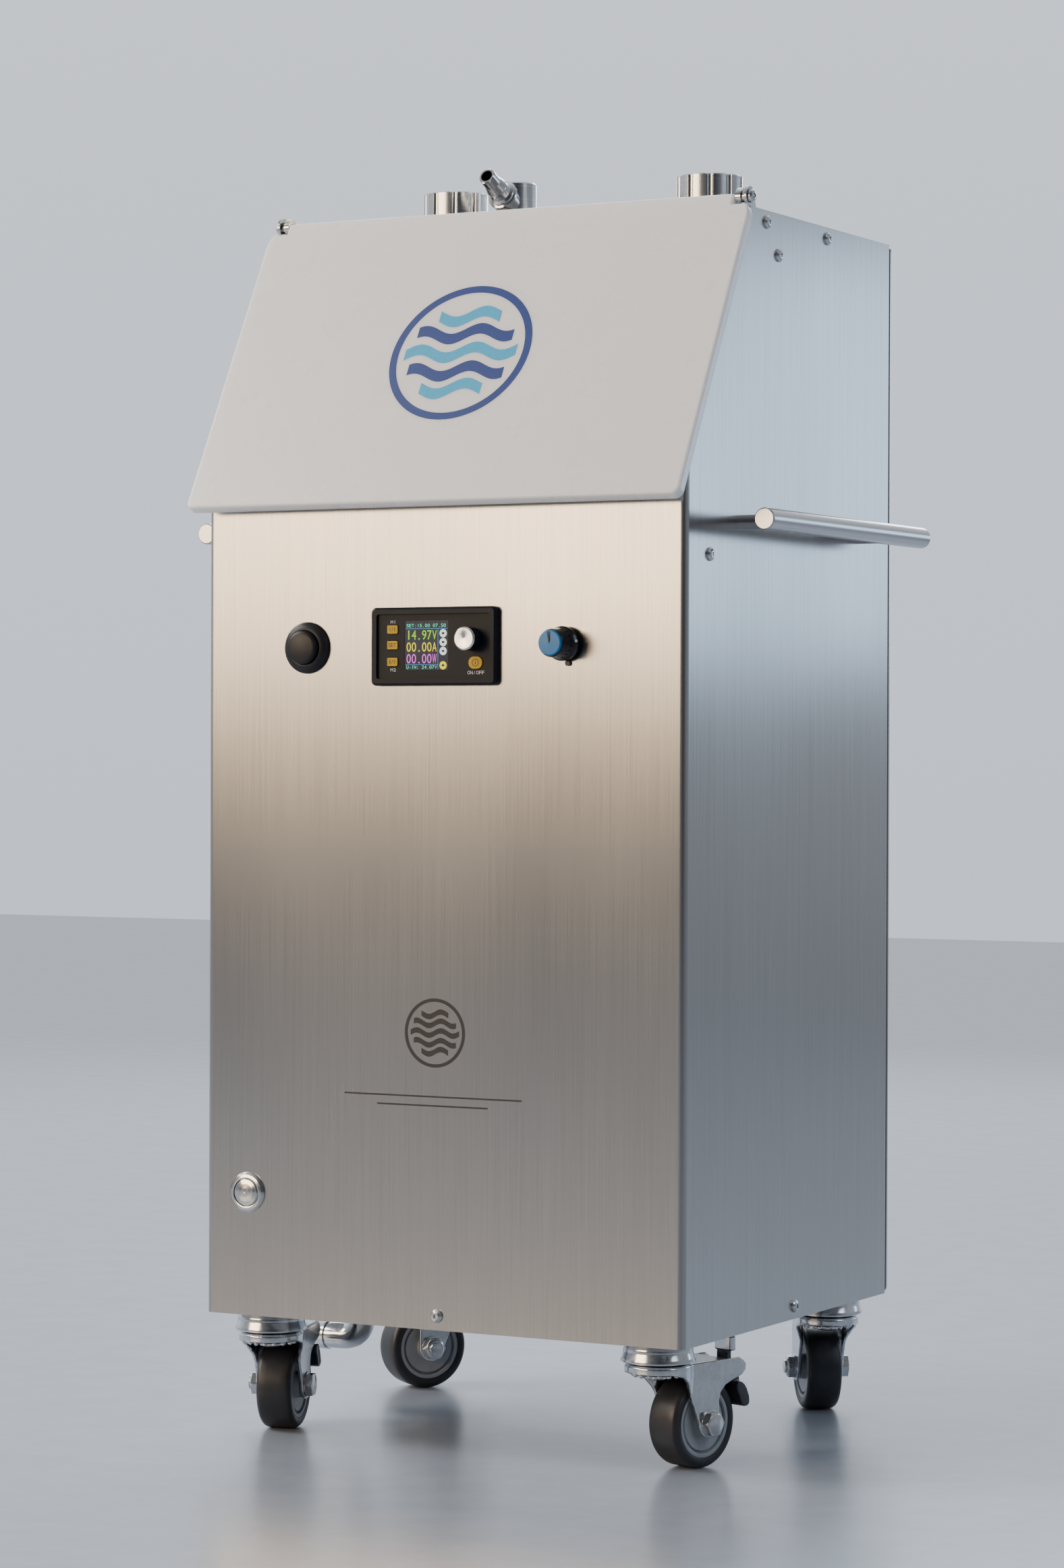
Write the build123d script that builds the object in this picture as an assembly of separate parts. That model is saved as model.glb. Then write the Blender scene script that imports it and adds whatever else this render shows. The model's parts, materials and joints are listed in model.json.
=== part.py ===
"""Wheeled electrolysis gas generator: a brushed-steel cabinet on swivel casters.

Everything is laid out in the cabinet's own frame, in millimetres: X to the right seen from the
front, Y to the rear, Z up, with zero at the middle of the cabinet's underside. write() moves each
node into the part's frame, whose origin is on the floor under the middle of the whole object.
"""
import os
from math import cos, radians, sin, tan

from build123d import *

# Cabinet
WIDTH, DEPTH, HEIGHT = 301.0, 271.0, 616.0
SHEET = 1.5
BEND = 3.7                      # outer radius of the two front bends
FRONT_Y = -DEPTH / 2
REAR_Y = DEPTH / 2              # outer face of the rear panel
SIDE_X = WIDTH / 2
TOP_FRONT_Y = -50.0             # front edge of the top plate

# Lid, a flat sheet leaning back over the sloped opening
LID_ANGLE = 28.3                # from the vertical
LID_LENGTH, LID_SHEET = 192.4, 6.0
LID_OVERHANG = 4.0              # past each side of the cabinet
LID_TOP = (-62.6, 623.1)        # (y, z) of its upper outer edge
LID_GAP = 1.5                   # from the cabinet's sloped edges
NOTCH_X, NOTCH_S = 143.0, 7.0   # upper corners, cut back for the pivots
PIVOT = (-58.5, 621.3)          # (y, z) of the lid's hinge axis

# Casters
CASTER_H = 71.0                 # floor to the cabinet's underside
CASTER_X, CASTER_Y = 123.0, 110.0
TRAIL = 27.0
WHEEL_R, WHEEL_W, HUB_R = 25.0, 20.5, 19.4
AXLE_R = 4.0
FORK_IN, FORK_SHEET = 11.6, 2.2   # half the gap between the fork's sides, and their thickness
BRAKE_PIN = (50.0, -18.5)       # rolling distance from the swivel axis, and height
AXLE_Z = WHEEL_R - CASTER_H
CASTERS = {                     # name: (x, y, direction the wheel trails in, has a brake)
    "front_left": (-CASTER_X, -CASTER_Y, 106.5, True),
    "front_right": (CASTER_X, -CASTER_Y, 74.6, True),
    "rear_left": (-CASTER_X, CASTER_Y, 236.0, False),
    "rear_right": (CASTER_X, CASTER_Y, 126.5, False),
}

# Front controls: centres (x, z) on the front face
DOME = (-84.4, 374.8)
DISPLAY = (-1.8, 374.9)
DISPLAY_W, DISPLAY_H, DISPLAY_OUT = 79.0, 43.0, 4.5
KNOB = (78.7, 375.5)
STEEL_BUTTON = (-122.8, 69.2)
KEY_X, KEY_Z = -26.0, (9.4, 0.8, -8.4)        # from the display's centre
SCREEN = (-4.8, 0.55)
ENCODER = (24.0, 3.7)
ON_OFF = (26.4, -9.2)
ENCODER_SHAFT = 9.5             # how far its shaft stands out of the front face

# Gas and water side
TANK_R, TANK_WALL = 54.0, 3.0
TANK_X, TANK_Y = 83.5, 28.0
TANK_Z = (370.0, 606.0)
NECK_R, NECK_TOP = 14.9, 640.0
CAP_R, CAP_TOP = 18.8, 647.0
OUTLET = (-43.0, 28.0)
OUTLET_R, OUTLET_TOP = 12.0, 651.0
BARB_Z, BARB_TILT = 635.0, 24.7
BOSS_OUT = 17.0                 # end of the outlet's boss, from the column's axis
DRAIN = (-116.0, -22.0)
DRAIN_R, DRAIN_Z = 7.7, -26.0

# Fits
RUN = 0.05                      # radial clearance of a running fit
M4_R, M4_HOLE = 2.0, 2.1

ORIGIN = Location((0, -0.5425, CASTER_H))
UP_SLOPE = (sin(radians(LID_ANGLE)), cos(radians(LID_ANGLE)))
OUTWARD = (-UP_SLOPE[1], UP_SLOPE[0])


# ---------------------------------------------------------------- helpers
def write(name, *solids):
    """Writes one node, moved into the part's frame."""
    flat = [piece for solid in solids for piece in solid.solids()]
    export_step(ORIGIN * Compound(children=[copy_of(piece) for piece in flat]), f"parts/{name}.step")


def copy_of(piece):
    return Solid(piece.wrapped)


def box(x, y, z):
    """A box from three (low, high) pairs."""
    size = [b - a for a, b in (x, y, z)]
    return Pos(x[0], y[0], z[0]) * Box(*size, align=(Align.MIN,) * 3)


def rod(point, direction, radius, length):
    """A cylinder that starts at point and runs along direction."""
    plane = Plane(origin=point, z_dir=direction)
    return plane * Cylinder(radius, length, align=(Align.CENTER, Align.CENTER, Align.MIN))


def ring(point, direction, outer, inner, length):
    return rod(point, direction, outer, length) - rod(point, direction, inner, length)


def hexagon(point, direction, across, length, hole=0.0):
    """A hexagonal prism, such as a nut, with an optional bore."""
    plane = Plane(origin=point, z_dir=direction)
    prism = extrude(plane * RegularPolygon(across / 2 / cos(radians(30)), 6), length)
    return prism - rod(point, direction, hole, length) if hole else prism


def turned(points, point=(0, 0, 0), direction=(0, 0, 1)):
    """A solid of revolution: points are (radius, height) pairs about the given axis."""
    face = make_face(Plane.XZ * Polyline(*points, close=True))
    return Plane(origin=point, z_dir=direction) * revolve(face, Axis.Z)


def on_front(place, out=0.0):
    """The 3-D point for (x, z) on the front face, standing out by a given amount."""
    return (place[0], FRONT_Y - out, place[1])


def slope(down, out):
    """(y, z) of a point measured down the lid from its top edge and out from its inner face."""
    y = LID_TOP[0] - down * UP_SLOPE[0] + (out - LID_SHEET) * OUTWARD[0]
    z = LID_TOP[1] - down * UP_SLOPE[1] + (out - LID_SHEET) * OUTWARD[1]
    return y, z


def slope_box(x, down, out):
    """A box whose faces follow the lid, from (low, high) pairs."""
    corners = [slope(down[0], out[0]), slope(down[1], out[0]), slope(down[1], out[1]),
               slope(down[0], out[1])]
    face = make_face(Polyline(*[(x[0], *corner) for corner in corners], close=True))
    return extrude(face, x[1] - x[0], dir=(1, 0, 0))


def button_screw(point, direction, length=8.0):
    """An M4 button-head screw whose head stands out along direction, with a hex socket."""
    head = turned([(0, 0), (3.75, 0), (3.6, 0.9), (2.9, 1.7), (1.8, 2.15), (0, 2.2)], point, direction)
    socket_at = tuple(p + 1.0 * d for p, d in zip(point, direction))
    back = tuple(-d for d in direction)
    return head - hexagon(socket_at, direction, 2.5, 2.0) + rod(point, back, M4_R, length)


# ---------------------------------------------------------------- cabinet
SIDE_SCREWS = [(-37.6, 609.4), (42.8, 609.4), (-22.1, 592.8), (-107.2, 423.5), (4.5, 7.4)]
FRONT_SCREW = (0.0, 7.8)
REAR_SCREWS = [(x, z) for x in (-143.5, 143.5) for z in (20, 210, 400, 596)]
LIFT_POINTS = [-69.5, 90.5]                   # handle posts along y
HANDLE_Z, HANDLE_OUT, BAR_R, POST_R = 442.5, 27.0, 6.0, 4.0
FAN = (62.0, 190.0)                           # (x, z) on the rear panel
INLET = (-105.0, 60.0)


def side_profile():
    """The cabinet seen from the side, with its slope and the ears that carry the lid."""
    start = slope(0, -LID_GAP)
    low = (FRONT_Y, start[1] - (start[0] - FRONT_Y) / UP_SLOPE[0] * UP_SLOPE[1])
    high = (start[0] - (start[1] - HEIGHT) / UP_SLOPE[1] * UP_SLOPE[0], HEIGHT)
    clip = 2.5
    rear = REAR_Y - SHEET
    outline = [(FRONT_Y, 0), low, high, (rear - clip, HEIGHT), (rear, HEIGHT - clip), (rear, clip),
               (rear - clip, 0)]
    face = make_face(Polyline(*[(0, *p) for p in outline], close=True))
    body = extrude(face, WIDTH, dir=(1, 0, 0), both=True)
    ear_base = make_face(Polyline((0, -57.5, HEIGHT - 1), (0, -51.2, HEIGHT - 1),
                                  (0, PIVOT[0] + 5.4, PIVOT[1] + 1), (0, PIVOT[0] - 3, PIVOT[1]),
                                  close=True))
    ear = extrude(ear_base, WIDTH, dir=(1, 0, 0), both=True)
    return body + ear + rod((-WIDTH, *PIVOT), (1, 0, 0), 5.5, 2 * WIDTH)


def cabinet_shell():
    """Front and both sides, one bent sheet with rear and slope flanges."""
    outer = Pos(0, -SHEET / 2) * RectangleRounded(WIDTH, DEPTH - SHEET, BEND)
    inner = Pos(0, -SHEET / 2) * RectangleRounded(WIDTH - 2 * SHEET, DEPTH - 3 * SHEET, BEND - SHEET)
    tube = extrude(outer - inner, HEIGHT + 20)
    tube -= box((-137, 137), (0, REAR_Y), (-1, HEIGHT + 30))
    tube -= box((-SIDE_X + SHEET, SIDE_X - SHEET), (100, REAR_Y), (HEIGHT - 18, HEIGHT + 30))
    tube -= box((-SIDE_X + SHEET, SIDE_X - SHEET), (100, REAR_Y), (-1, 16))
    shell = tube & side_profile()
    inside = SIDE_X - SHEET
    for a, b in ((-inside, -inside + 10), (inside - 10, inside)):
        shell += slope_box((a, b), (30, 168), (-LID_GAP - SHEET, -LID_GAP))
    shell += slope_box((-inside, inside), (157, 168.5), (-LID_GAP - SHEET, -LID_GAP))
    shell -= rod(on_front(DOME, 5), (0, 1, 0), 8.1, 10)
    shell -= rod(on_front(STEEL_BUTTON, 5), (0, 1, 0), 8.1, 10)
    shell -= rod(on_front(KNOB, 5), (0, 1, 0), 3.6, 10)
    shell -= rod(on_front((KNOB[0] + 1.5, KNOB[1] - 10.5), 5), (0, 1, 0), 1.6, 10)
    shell -= box((DISPLAY[0] - 36, DISPLAY[0] + 36), (FRONT_Y - 5, FRONT_Y + 5),
                 (DISPLAY[1] - 19.5, DISPLAY[1] + 19.5))
    shell -= rod(on_front(FRONT_SCREW, 5), (0, 1, 0), M4_HOLE, 10)
    for y, z in SIDE_SCREWS + [PIVOT]:
        radius = M4_R + RUN if (y, z) == PIVOT else M4_HOLE
        shell -= rod((-WIDTH, y, z), (1, 0, 0), radius, 2 * WIDTH)
    for y in LIFT_POINTS:
        shell -= rod((-WIDTH, y, HANDLE_Z), (1, 0, 0), 2.6, 2 * WIDTH)
    for x, z in REAR_SCREWS:
        shell -= rod((x, REAR_Y - 10, z), (0, 1, 0), M4_HOLE, 20)
    return shell


def base_plate():
    """The floor of the cabinet: a tray with turned-up edges, vent slots and caster holes."""
    x, front, rear = SIDE_X - SHEET, FRONT_Y + SHEET, REAR_Y - 2 * SHEET
    tray = box((-x, x), (front, rear), (0, 14)) - box((-x + SHEET, x - SHEET),
                                                     (front + SHEET, rear - SHEET), (2, 20))
    for px in (-x - 1, x - 4):                # clearance round the bend's inside radius
        tray -= box((px, px + 5), (front - 1, front + 4), (-1, 20))
    for cx, cy, _, _ in CASTERS.values():
        tray -= rod((cx, cy, -1), (0, 0, 1), 6.0, 5)
    tray -= rod((*DRAIN, -1), (0, 0, 1), DRAIN_R, 5)
    for row in (-62.0, 72.0):
        for step in range(7):
            slot = Pos(-54 + 18 * step, row, 1) * Rot(0, 0, 52) * SlotOverall(34, 4.5)
            tray -= extrude(slot, 4, both=True)
    for y, z in SIDE_SCREWS[-1:]:
        tray -= rod((-WIDTH, y, z), (1, 0, 0), M4_HOLE, 2 * WIDTH)
    return tray - rod(on_front(FRONT_SCREW, 5), (0, 1, 0), M4_HOLE, 12)


def top_plate():
    """The lid of the cabinet proper, with holes for the necks and the gas outlet."""
    x, rear = SIDE_X - SHEET, REAR_Y - 2 * SHEET
    plate = box((-x, x), (TOP_FRONT_Y, rear), (HEIGHT - 16, HEIGHT))
    plate -= box((-x + SHEET, x - SHEET), (TOP_FRONT_Y + SHEET, rear - SHEET),
                 (HEIGHT - 30, HEIGHT - SHEET))
    for sx in (-1, 1):
        plate -= rod((sx * TANK_X, TANK_Y, HEIGHT - 5), (0, 0, 1), NECK_R + 0.4, 10)
    plate -= rod((*OUTLET, HEIGHT - 5), (0, 0, 1), OUTLET_R + 0.4, 10)
    for y, z in SIDE_SCREWS[:2]:
        plate -= rod((-WIDTH, y, z), (1, 0, 0), M4_HOLE, 2 * WIDTH)
    return plate


def rear_panel():
    """Flat service panel with the fan opening, the inlet cut-out and two rows of vents."""
    y = (REAR_Y - SHEET, REAR_Y)
    panel = box((-SIDE_X + 0.5, SIDE_X - 0.5), y, (0.5, HEIGHT - 0.5))
    panel = fillet(panel.edges().filter_by(Axis.Y), 3.0)
    panel -= rod((FAN[0], REAR_Y - 5, FAN[1]), (0, 1, 0), 37, 10)
    for dx in (-35.75, 35.75):
        for dz in (-35.75, 35.75):
            panel -= rod((FAN[0] + dx, REAR_Y - 5, FAN[1] + dz), (0, 1, 0), M4_HOLE, 10)
    panel -= box((INLET[0] - 13.7, INLET[0] + 13.7), (REAR_Y - 5, REAR_Y + 5),
                 (INLET[1] - 9.9, INLET[1] + 9.9))
    for z in (330.0, 540.0):
        for step in range(9):
            plane = Plane(origin=(-72 + 18 * step, REAR_Y, z), x_dir=(0, 0, 1), z_dir=(0, 1, 0))
            panel -= extrude(plane * SlotOverall(40, 5), 5, both=True)
    for x, z in REAR_SCREWS:
        panel -= rod((x, REAR_Y - 5, z), (0, 1, 0), M4_HOLE, 10)
    return panel


def panel_screws():
    screws = [button_screw(on_front(FRONT_SCREW), (0, -1, 0))]
    for y, z in SIDE_SCREWS:
        for side in (-1, 1):
            screws.append(button_screw((side * SIDE_X, y, z), (side, 0, 0)))
    for x, z in REAR_SCREWS:
        screws.append(button_screw((x, REAR_Y, z), (0, 1, 0)))
    return screws


def handles():
    """Two T-bar handles: a round bar on two posts, with a chamfered end at each end."""
    pieces = []
    front, rear = -96.5, 117.5
    for side in (-1, 1):
        x = side * (SIDE_X + HANDLE_OUT)
        bar = rod((x, front, HANDLE_Z), (0, 1, 0), BAR_R, rear - front)
        bar = chamfer(bar.edges().filter_by(GeomType.CIRCLE), 0.7)
        for y in LIFT_POINTS:
            bar += rod((side * SIDE_X, y, HANDLE_Z), (side, 0, 0), POST_R, HANDLE_OUT)
            bar += rod((side * SIDE_X, y, HANDLE_Z), (-side, 0, 0), 2.5, 8)
        pieces.append(bar)
    return pieces


def lid_seal():
    """A thin foam strip on the slope flanges, along the sides and across the bottom."""
    inside = SIDE_X - SHEET
    out = (-LID_GAP, -0.2)
    strip = slope_box((-inside + 1, inside - 1), (158, 166), out)
    for a, b in ((-inside + 1, -inside + 9), (inside - 9, inside - 1)):
        strip += slope_box((a, b), (31, 166), out)
    return strip


# ---------------------------------------------------------------- lid
def lid_panel():
    """The opal sheet: round lower corners, rounder upper ones cut back at the pivots."""
    half = SIDE_X + LID_OVERHANG
    plane = Plane(origin=(0, *slope(0, 0)), x_dir=(1, 0, 0), z_dir=(0, *OUTWARD))
    face = make_face(Polyline((-half, 0), (half, 0), (half, -LID_LENGTH), (-half, -LID_LENGTH),
                              close=True))
    upper = face.vertices().group_by(Axis.Y)[-1]
    face = fillet(upper, 16)
    face = fillet(face.vertices().group_by(Axis.Y)[0], 4)
    for side in (-1, 1):
        face -= Pos(side * (NOTCH_X + 10), 0) * Rectangle(20, 2 * NOTCH_S)
    sheet = extrude(plane * face, LID_SHEET)
    outer_edges = sheet.faces().sort_by(Axis(origin=(0, 0, 0), direction=(0, *OUTWARD)))[-1].edges()
    return fillet(outer_edges, 1.6)


def hinge_brackets():
    """One bent bracket at each upper corner: a foot on the sheet's back and a round cheek."""
    pieces = []
    for side in (-1, 1):
        cheek_x = (NOTCH_X + 0.4, NOTCH_X + 3.4)
        foot_x = (118, cheek_x[1])
        low, high = cheek_x if side > 0 else (-cheek_x[1], -cheek_x[0])
        foot_low, foot_high = foot_x if side > 0 else (-foot_x[1], -foot_x[0])
        cheek = rod((low, *PIVOT), (1, 0, 0), 4.6, high - low)
        corners = [slope(-2, 0), slope(9, 0), slope(9, -2.5), slope(-2, -3)]
        web = make_face(Polyline(*[(low, *corner) for corner in corners], close=True))
        piece = cheek + extrude(web, high - low, dir=(1, 0, 0))
        piece += slope_box((foot_low, foot_high), (8, 27), (-2.5, 0))
        pieces.append(piece - rod((low - 1, *PIVOT), (1, 0, 0), M4_R, 6))
    return pieces


def pivot_screws():
    """Cross-head pivot screws, each with its spacer barrel between the ear and the bracket."""
    pieces = []
    for side in (-1, 1):
        out = (side, 0, 0)
        head_at = (side * (SIDE_X + 0.2), *PIVOT)
        head = turned([(0, 0), (3.8, 0), (3.7, 1.1), (3.0, 2.1), (1.6, 2.7), (0, 2.8)], head_at, out)
        for spin in (0, 90):
            recess = Plane(origin=head_at, z_dir=out) * Rot(0, 0, spin + 45) * Box(3.6, 0.9, 2.4)
            head -= Pos(side * 2.6, 0, 0) * recess
        shank = rod(head_at, (-side, 0, 0), M4_R, SIDE_X - NOTCH_X - 0.5)
        barrel = ring((side * (NOTCH_X + 3.6), *PIVOT), out, 3.3, M4_R, 2.2)
        pieces.append(head + shank + barrel)
    return pieces


# ---------------------------------------------------------------- front controls
def dome_button_body():
    """Rubber flange ring, threaded barrel and its locknut behind the panel."""
    at = on_front(DOME)
    body = turned([(9.6, 0), (14.4, 0), (14.4, 1.1), (13.5, 2.6), (12.0, 3.8), (10.2, 4.4), (9.6, 4.4)],
                  at, (0, -1, 0))
    barrel = ring(at, (0, 1, 0), 8.0, 5.6, 20) + rod((at[0], at[1] + 20, at[2]), (0, 1, 0), 8.0, 12)
    flange = ring(at, (0, -1, 0), 9.7, 5.6, 0.4)
    nut = hexagon((at[0], at[1] + SHEET, at[2]), (0, 1, 0), 22, 3, 8.05)
    return [body + flange + barrel, nut]


def dome_button():
    """The rubber cap: a stepped cone with a softly domed face, on a plunger."""
    at = on_front(DOME)
    cap = turned([(0, 2.9), (9.3, 2.9), (9.3, 5.6), (9.0, 6.9), (8.2, 7.6), (5.6, 8.1), (2.8, 8.4),
                  (0, 8.5)], at, (0, -1, 0))
    return cap + rod((at[0], at[1] - 3.1, at[2]), (0, 1, 0), 5.3, 15)


def display_plane(place, out):
    return (DISPLAY[0] + place[0], FRONT_Y - out, DISPLAY[1] + place[1])


def rounded_block(place, width, height, out_low, out_high, radius):
    """A block on the display with rounded corners, between two distances from the panel."""
    plane = Plane(origin=display_plane(place, out_low), x_dir=(1, 0, 0), z_dir=(0, -1, 0))
    return extrude(plane * RectangleRounded(width, height, radius), out_high - out_low)


def display_bezel():
    """Snap-in frame: outer flange, recessed face and openings for keys, knob and screen."""
    frame = rounded_block((0, 0), DISPLAY_W, DISPLAY_H, 0, DISPLAY_OUT, 3.0)
    front = frame.faces().sort_by(Axis.Y)[0]
    frame = chamfer(front.edges(), 1.3)
    frame -= rounded_block((0, 0), 71.5, 35.5, DISPLAY_OUT - 1.6, DISPLAY_OUT + 1, 1.5)
    frame += rounded_block((0, 0), 71.5, 38.5, -16, 0, 1.0) - rounded_block((0, 0), 68, 35, -17, 0.8, 1.0)
    for z in KEY_Z:
        frame -= rounded_block((KEY_X, z), 7.0, 5.2, -1, 6, 0.8)
    frame -= rounded_block(SCREEN, 27.5, 27.5, -1, 6, 0.6)
    frame -= rod(display_plane(ENCODER, 8), (0, 1, 0), 3.6, 12)
    return frame - rounded_block(ON_OFF, 8.9, 7.1, -1, 6, 3.5)


def display_window():
    return rounded_block(SCREEN, 27.3, 27.3, 0.6, 2.7, 0.5)


def display_board():
    """Circuit board with its screen module, switches, terminal block and encoder body."""
    at = display_plane((0, 0), 0)
    board = box((at[0] - 33.5, at[0] + 33.5), (FRONT_Y + 6, FRONT_Y + 7.6), (at[2] - 17, at[2] + 17))
    module = rounded_block(SCREEN, 27.0, 27.0, -6, 0.5, 0.5)
    encoder = rod(display_plane(ENCODER, ENCODER_SHAFT), (0, 1, 0), 3.0, ENCODER_SHAFT + 6)
    terminal = box((at[0] - 14, at[0] + 14), (FRONT_Y + 7.6, FRONT_Y + 19), (at[2] - 14, at[2] - 2))
    heatsink = box((at[0] - 28, at[0] + 28), (FRONT_Y + 7.6, FRONT_Y + 17), (at[2] + 2, at[2] + 15))
    for step in range(8):
        x = at[0] - 24 + 7 * step
        heatsink -= box((x, x + 3), (FRONT_Y + 10, FRONT_Y + 18), (at[2] + 1, at[2] + 16))
    return board + module + encoder + terminal + heatsink


def key(z):
    cap = rounded_block((KEY_X, z), 6.4, 4.6, 0.4, 3.7, 0.6)
    return cap + rounded_block((KEY_X, z), 3.0, 2.4, -4.9, 0.4, 0.3)


def on_off_key():
    cap = rounded_block(ON_OFF, 8.4, 6.6, 0.4, 3.7, 3.2)
    return cap + rod(display_plane(ON_OFF, 0.4), (0, 1, 0), 1.6, 5.3)


def encoder_knob():
    """Turned aluminium knob over a black ribbed skirt."""
    bore, depth = 3.0 + RUN, ENCODER_SHAFT + 0.3
    profile = [(bore, 3.75), (6.4, 3.75), (6.4, 11.6), (5.6, 12.4), (0, 12.4), (0, depth), (bore, depth)]
    at = display_plane(ENCODER, 0)
    knob = turned(profile, at, (0, -1, 0))
    for step in range(24):
        angle = radians(15 * step)
        centre = (at[0] + 6.65 * cos(angle), at[1] - 3.7, at[2] + 6.65 * sin(angle))
        knob -= rod(centre, (0, -1, 0), 0.45, 6.2)
    return knob


def potentiometer():
    """Threaded bush, its nut outside, the locating lug and the body behind the panel."""
    at = on_front(KNOB)
    bush = rod((at[0], at[1] - 3.4, at[2]), (0, 1, 0), 3.5, 6)
    body = turned([(0, 2.2), (8.2, 2.2), (8.2, 10.5), (7.4, 11.4), (0, 11.4)], at, (0, 1, 0))
    shaft = rod((at[0], at[1] - 12, at[2]), (0, 1, 0), 3.0, 10)
    lug = rod((at[0] + 1.5, at[1] - 1.6, at[2] - 10.5), (0, 1, 0), 1.5, 4.2)
    legs = [box((at[0] + d - 1, at[0] + d + 1), (FRONT_Y + 6, FRONT_Y + 7), (at[2] - 18, at[2] - 6))
            for d in (-5, 0, 5)]
    strap = box((at[0] - 4, at[0] + 4), (FRONT_Y + 2.2, FRONT_Y + 3), (at[2] - 12.5, at[2] - 5))
    pot = bush + body + shaft + lug + strap
    for leg in legs:
        pot += leg
    nut = hexagon((at[0], at[1], at[2]), (0, -1, 0), 10, 2.2, 3.55)
    washer = ring((at[0], at[1] + SHEET, at[2]), (0, 1, 0), 6, 3.55, 0.6)
    return [pot, nut, washer]


def pot_knob():
    """Skirted knob with a ribbed grip; the coloured cap is a separate piece."""
    at = on_front(KNOB)
    bore = 3.0 + RUN
    profile = [(bore, 3.6), (9.4, 3.6), (9.4, 5.4), (8.6, 6.6), (8.2, 7.6), (7.6, 17.2), (7.1, 17.8),
               (5.9, 17.8), (5.9, 16.4), (0, 16.4), (0, 12.5), (bore, 12.5)]
    knob = turned(profile, at, (0, -1, 0))
    for step in range(18):
        angle = radians(20 * step + 10)
        centre = (at[0] + 8.2 * cos(angle), at[1] - 8.6, at[2] + 8.2 * sin(angle))
        knob -= rod(centre, (0, -1, 0), 0.55, 10)
    return knob


def pot_knob_cap():
    """Press-in cap with a raised pointer line."""
    at = on_front(KNOB)
    cap = turned([(0, 16.4), (5.9, 16.4), (5.9, 17.8), (6.9, 17.9), (6.9, 18.9), (6.3, 19.5), (0, 19.7)],
                 at, (0, -1, 0))
    groove = Pos(at[0], at[1] - 19.7, at[2]) * Rot(0, 8, 0) * Pos(0, 0, 3.5) * Box(1.1, 0.9, 7)
    return cap - groove


def steel_button_body():
    """Stainless push button: domed bezel, threaded barrel, contacts and locknut."""
    at = on_front(STEEL_BUTTON)
    bezel = turned([(8.1, 0), (11.4, 0), (11.2, 0.9), (10.0, 2.0), (8.6, 2.4), (8.1, 2.3)],
                   at, (0, -1, 0))
    bezel += ring(at, (0, -1, 0), 8.2, 5.2, 0.6)
    barrel = ring(at, (0, 1, 0), 8.0, 5.2, 22) + rod((at[0], at[1] + 22, at[2]), (0, 1, 0), 7.0, 8)
    nut = hexagon((at[0], at[1] + SHEET, at[2]), (0, 1, 0), 19, 3, 8.05)
    return [bezel + barrel, nut]


def steel_button():
    at = on_front(STEEL_BUTTON)
    cap = turned([(0, 1.3), (7.8, 1.3), (7.8, 2.0), (7.2, 2.6), (5.0, 3.2), (2.5, 3.55), (0, 3.65)],
                 at, (0, -1, 0))
    return cap + rod((at[0], at[1] - 1.5, at[2]), (0, 1, 0), 4.9, 12)


# ---------------------------------------------------------------- gas and water
def tank(side):
    """A welded vessel with a flanged cover and a filler neck through the top plate."""
    x = side * TANK_X
    low, high = TANK_Z
    vessel = rod((x, TANK_Y, low), (0, 0, 1), TANK_R, high - low)
    vessel -= rod((x, TANK_Y, low + TANK_WALL), (0, 0, 1), TANK_R - TANK_WALL, high - low - 2 * TANK_WALL)
    vessel += ring((x, TANK_Y, high - 12), (0, 0, 1), TANK_R + 4, TANK_R, 8)
    vessel += rod((x, TANK_Y, high), (0, 0, 1), NECK_R, NECK_TOP - high)
    return vessel - rod((x, TANK_Y, high - 5), (0, 0, 1), NECK_R - 2.4, NECK_TOP)


def filler_cap(side):
    """Scalloped screw cap over the neck."""
    x, low = side * TANK_X, HEIGHT + 4
    cap = rod((x, TANK_Y, low), (0, 0, 1), CAP_R, CAP_TOP - low)
    cap -= rod((x, TANK_Y, low - 1), (0, 0, 1), NECK_R + RUN, NECK_TOP + 0.4 - low + 1)
    for step in range(10):
        angle = radians(36 * step + 8)
        centre = (x + (CAP_R + 0.6) * cos(angle), TANK_Y + (CAP_R + 0.6) * sin(angle), low - 1)
        cap -= rod(centre, (0, 0, 1), 2.2, CAP_TOP)
    top = cap.faces().sort_by(Axis.Z)[-1]
    return chamfer(top.edges(), 0.5)


def gas_outlet():
    """A hollow column on the bubbler's cover, closed at the top."""
    low = TANK_Z[1]
    column = rod((*OUTLET, low), (0, 0, 1), OUTLET_R, OUTLET_TOP - low)
    column = chamfer(column.edges().group_by(Axis.Z)[-1], 0.8)
    column -= rod((*OUTLET, low - 1), (0, 0, 1), 8.0, OUTLET_TOP - low - 3)
    column += rod(barb_point(9), barb_axis(), 7.6, BOSS_OUT - 9)
    return column - rod(barb_point(5), barb_axis(), 4.85, 20)


def barb_axis():
    tilt = radians(BARB_TILT)
    return (0, -cos(tilt), sin(tilt))


def barb_point(out):
    """A point on the barb's axis, a distance out from the outlet column's own axis."""
    axis = barb_axis()
    return (OUTLET[0], OUTLET[1] + out * axis[1], BARB_Z + out * axis[2])


def hose_barb():
    """Angled hose tail: plain tip, one soft barb, round collar and a hexagon by the column."""
    profile = [(3.5, 9), (4.8, 9), (4.8, BOSS_OUT), (9.0, BOSS_OUT), (9.0, 18.6), (8.0, 19.2),
               (8.0, 20.6), (6.6, 21.6), (5.8, 24.0), (6.2, 26.5), (5.0, 32.0), (5.0, 38.6), (4.5, 39.2),
               (3.5, 39.2)]
    return turned(profile, barb_point(0), barb_axis())


CELL_Y = (-70.0, 30.0)
CELL_Z = (96.0, 206.0)
CELL_SIDE = 110.0
CELL_X = 0.0
PLATE_COUNT = 9


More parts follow.
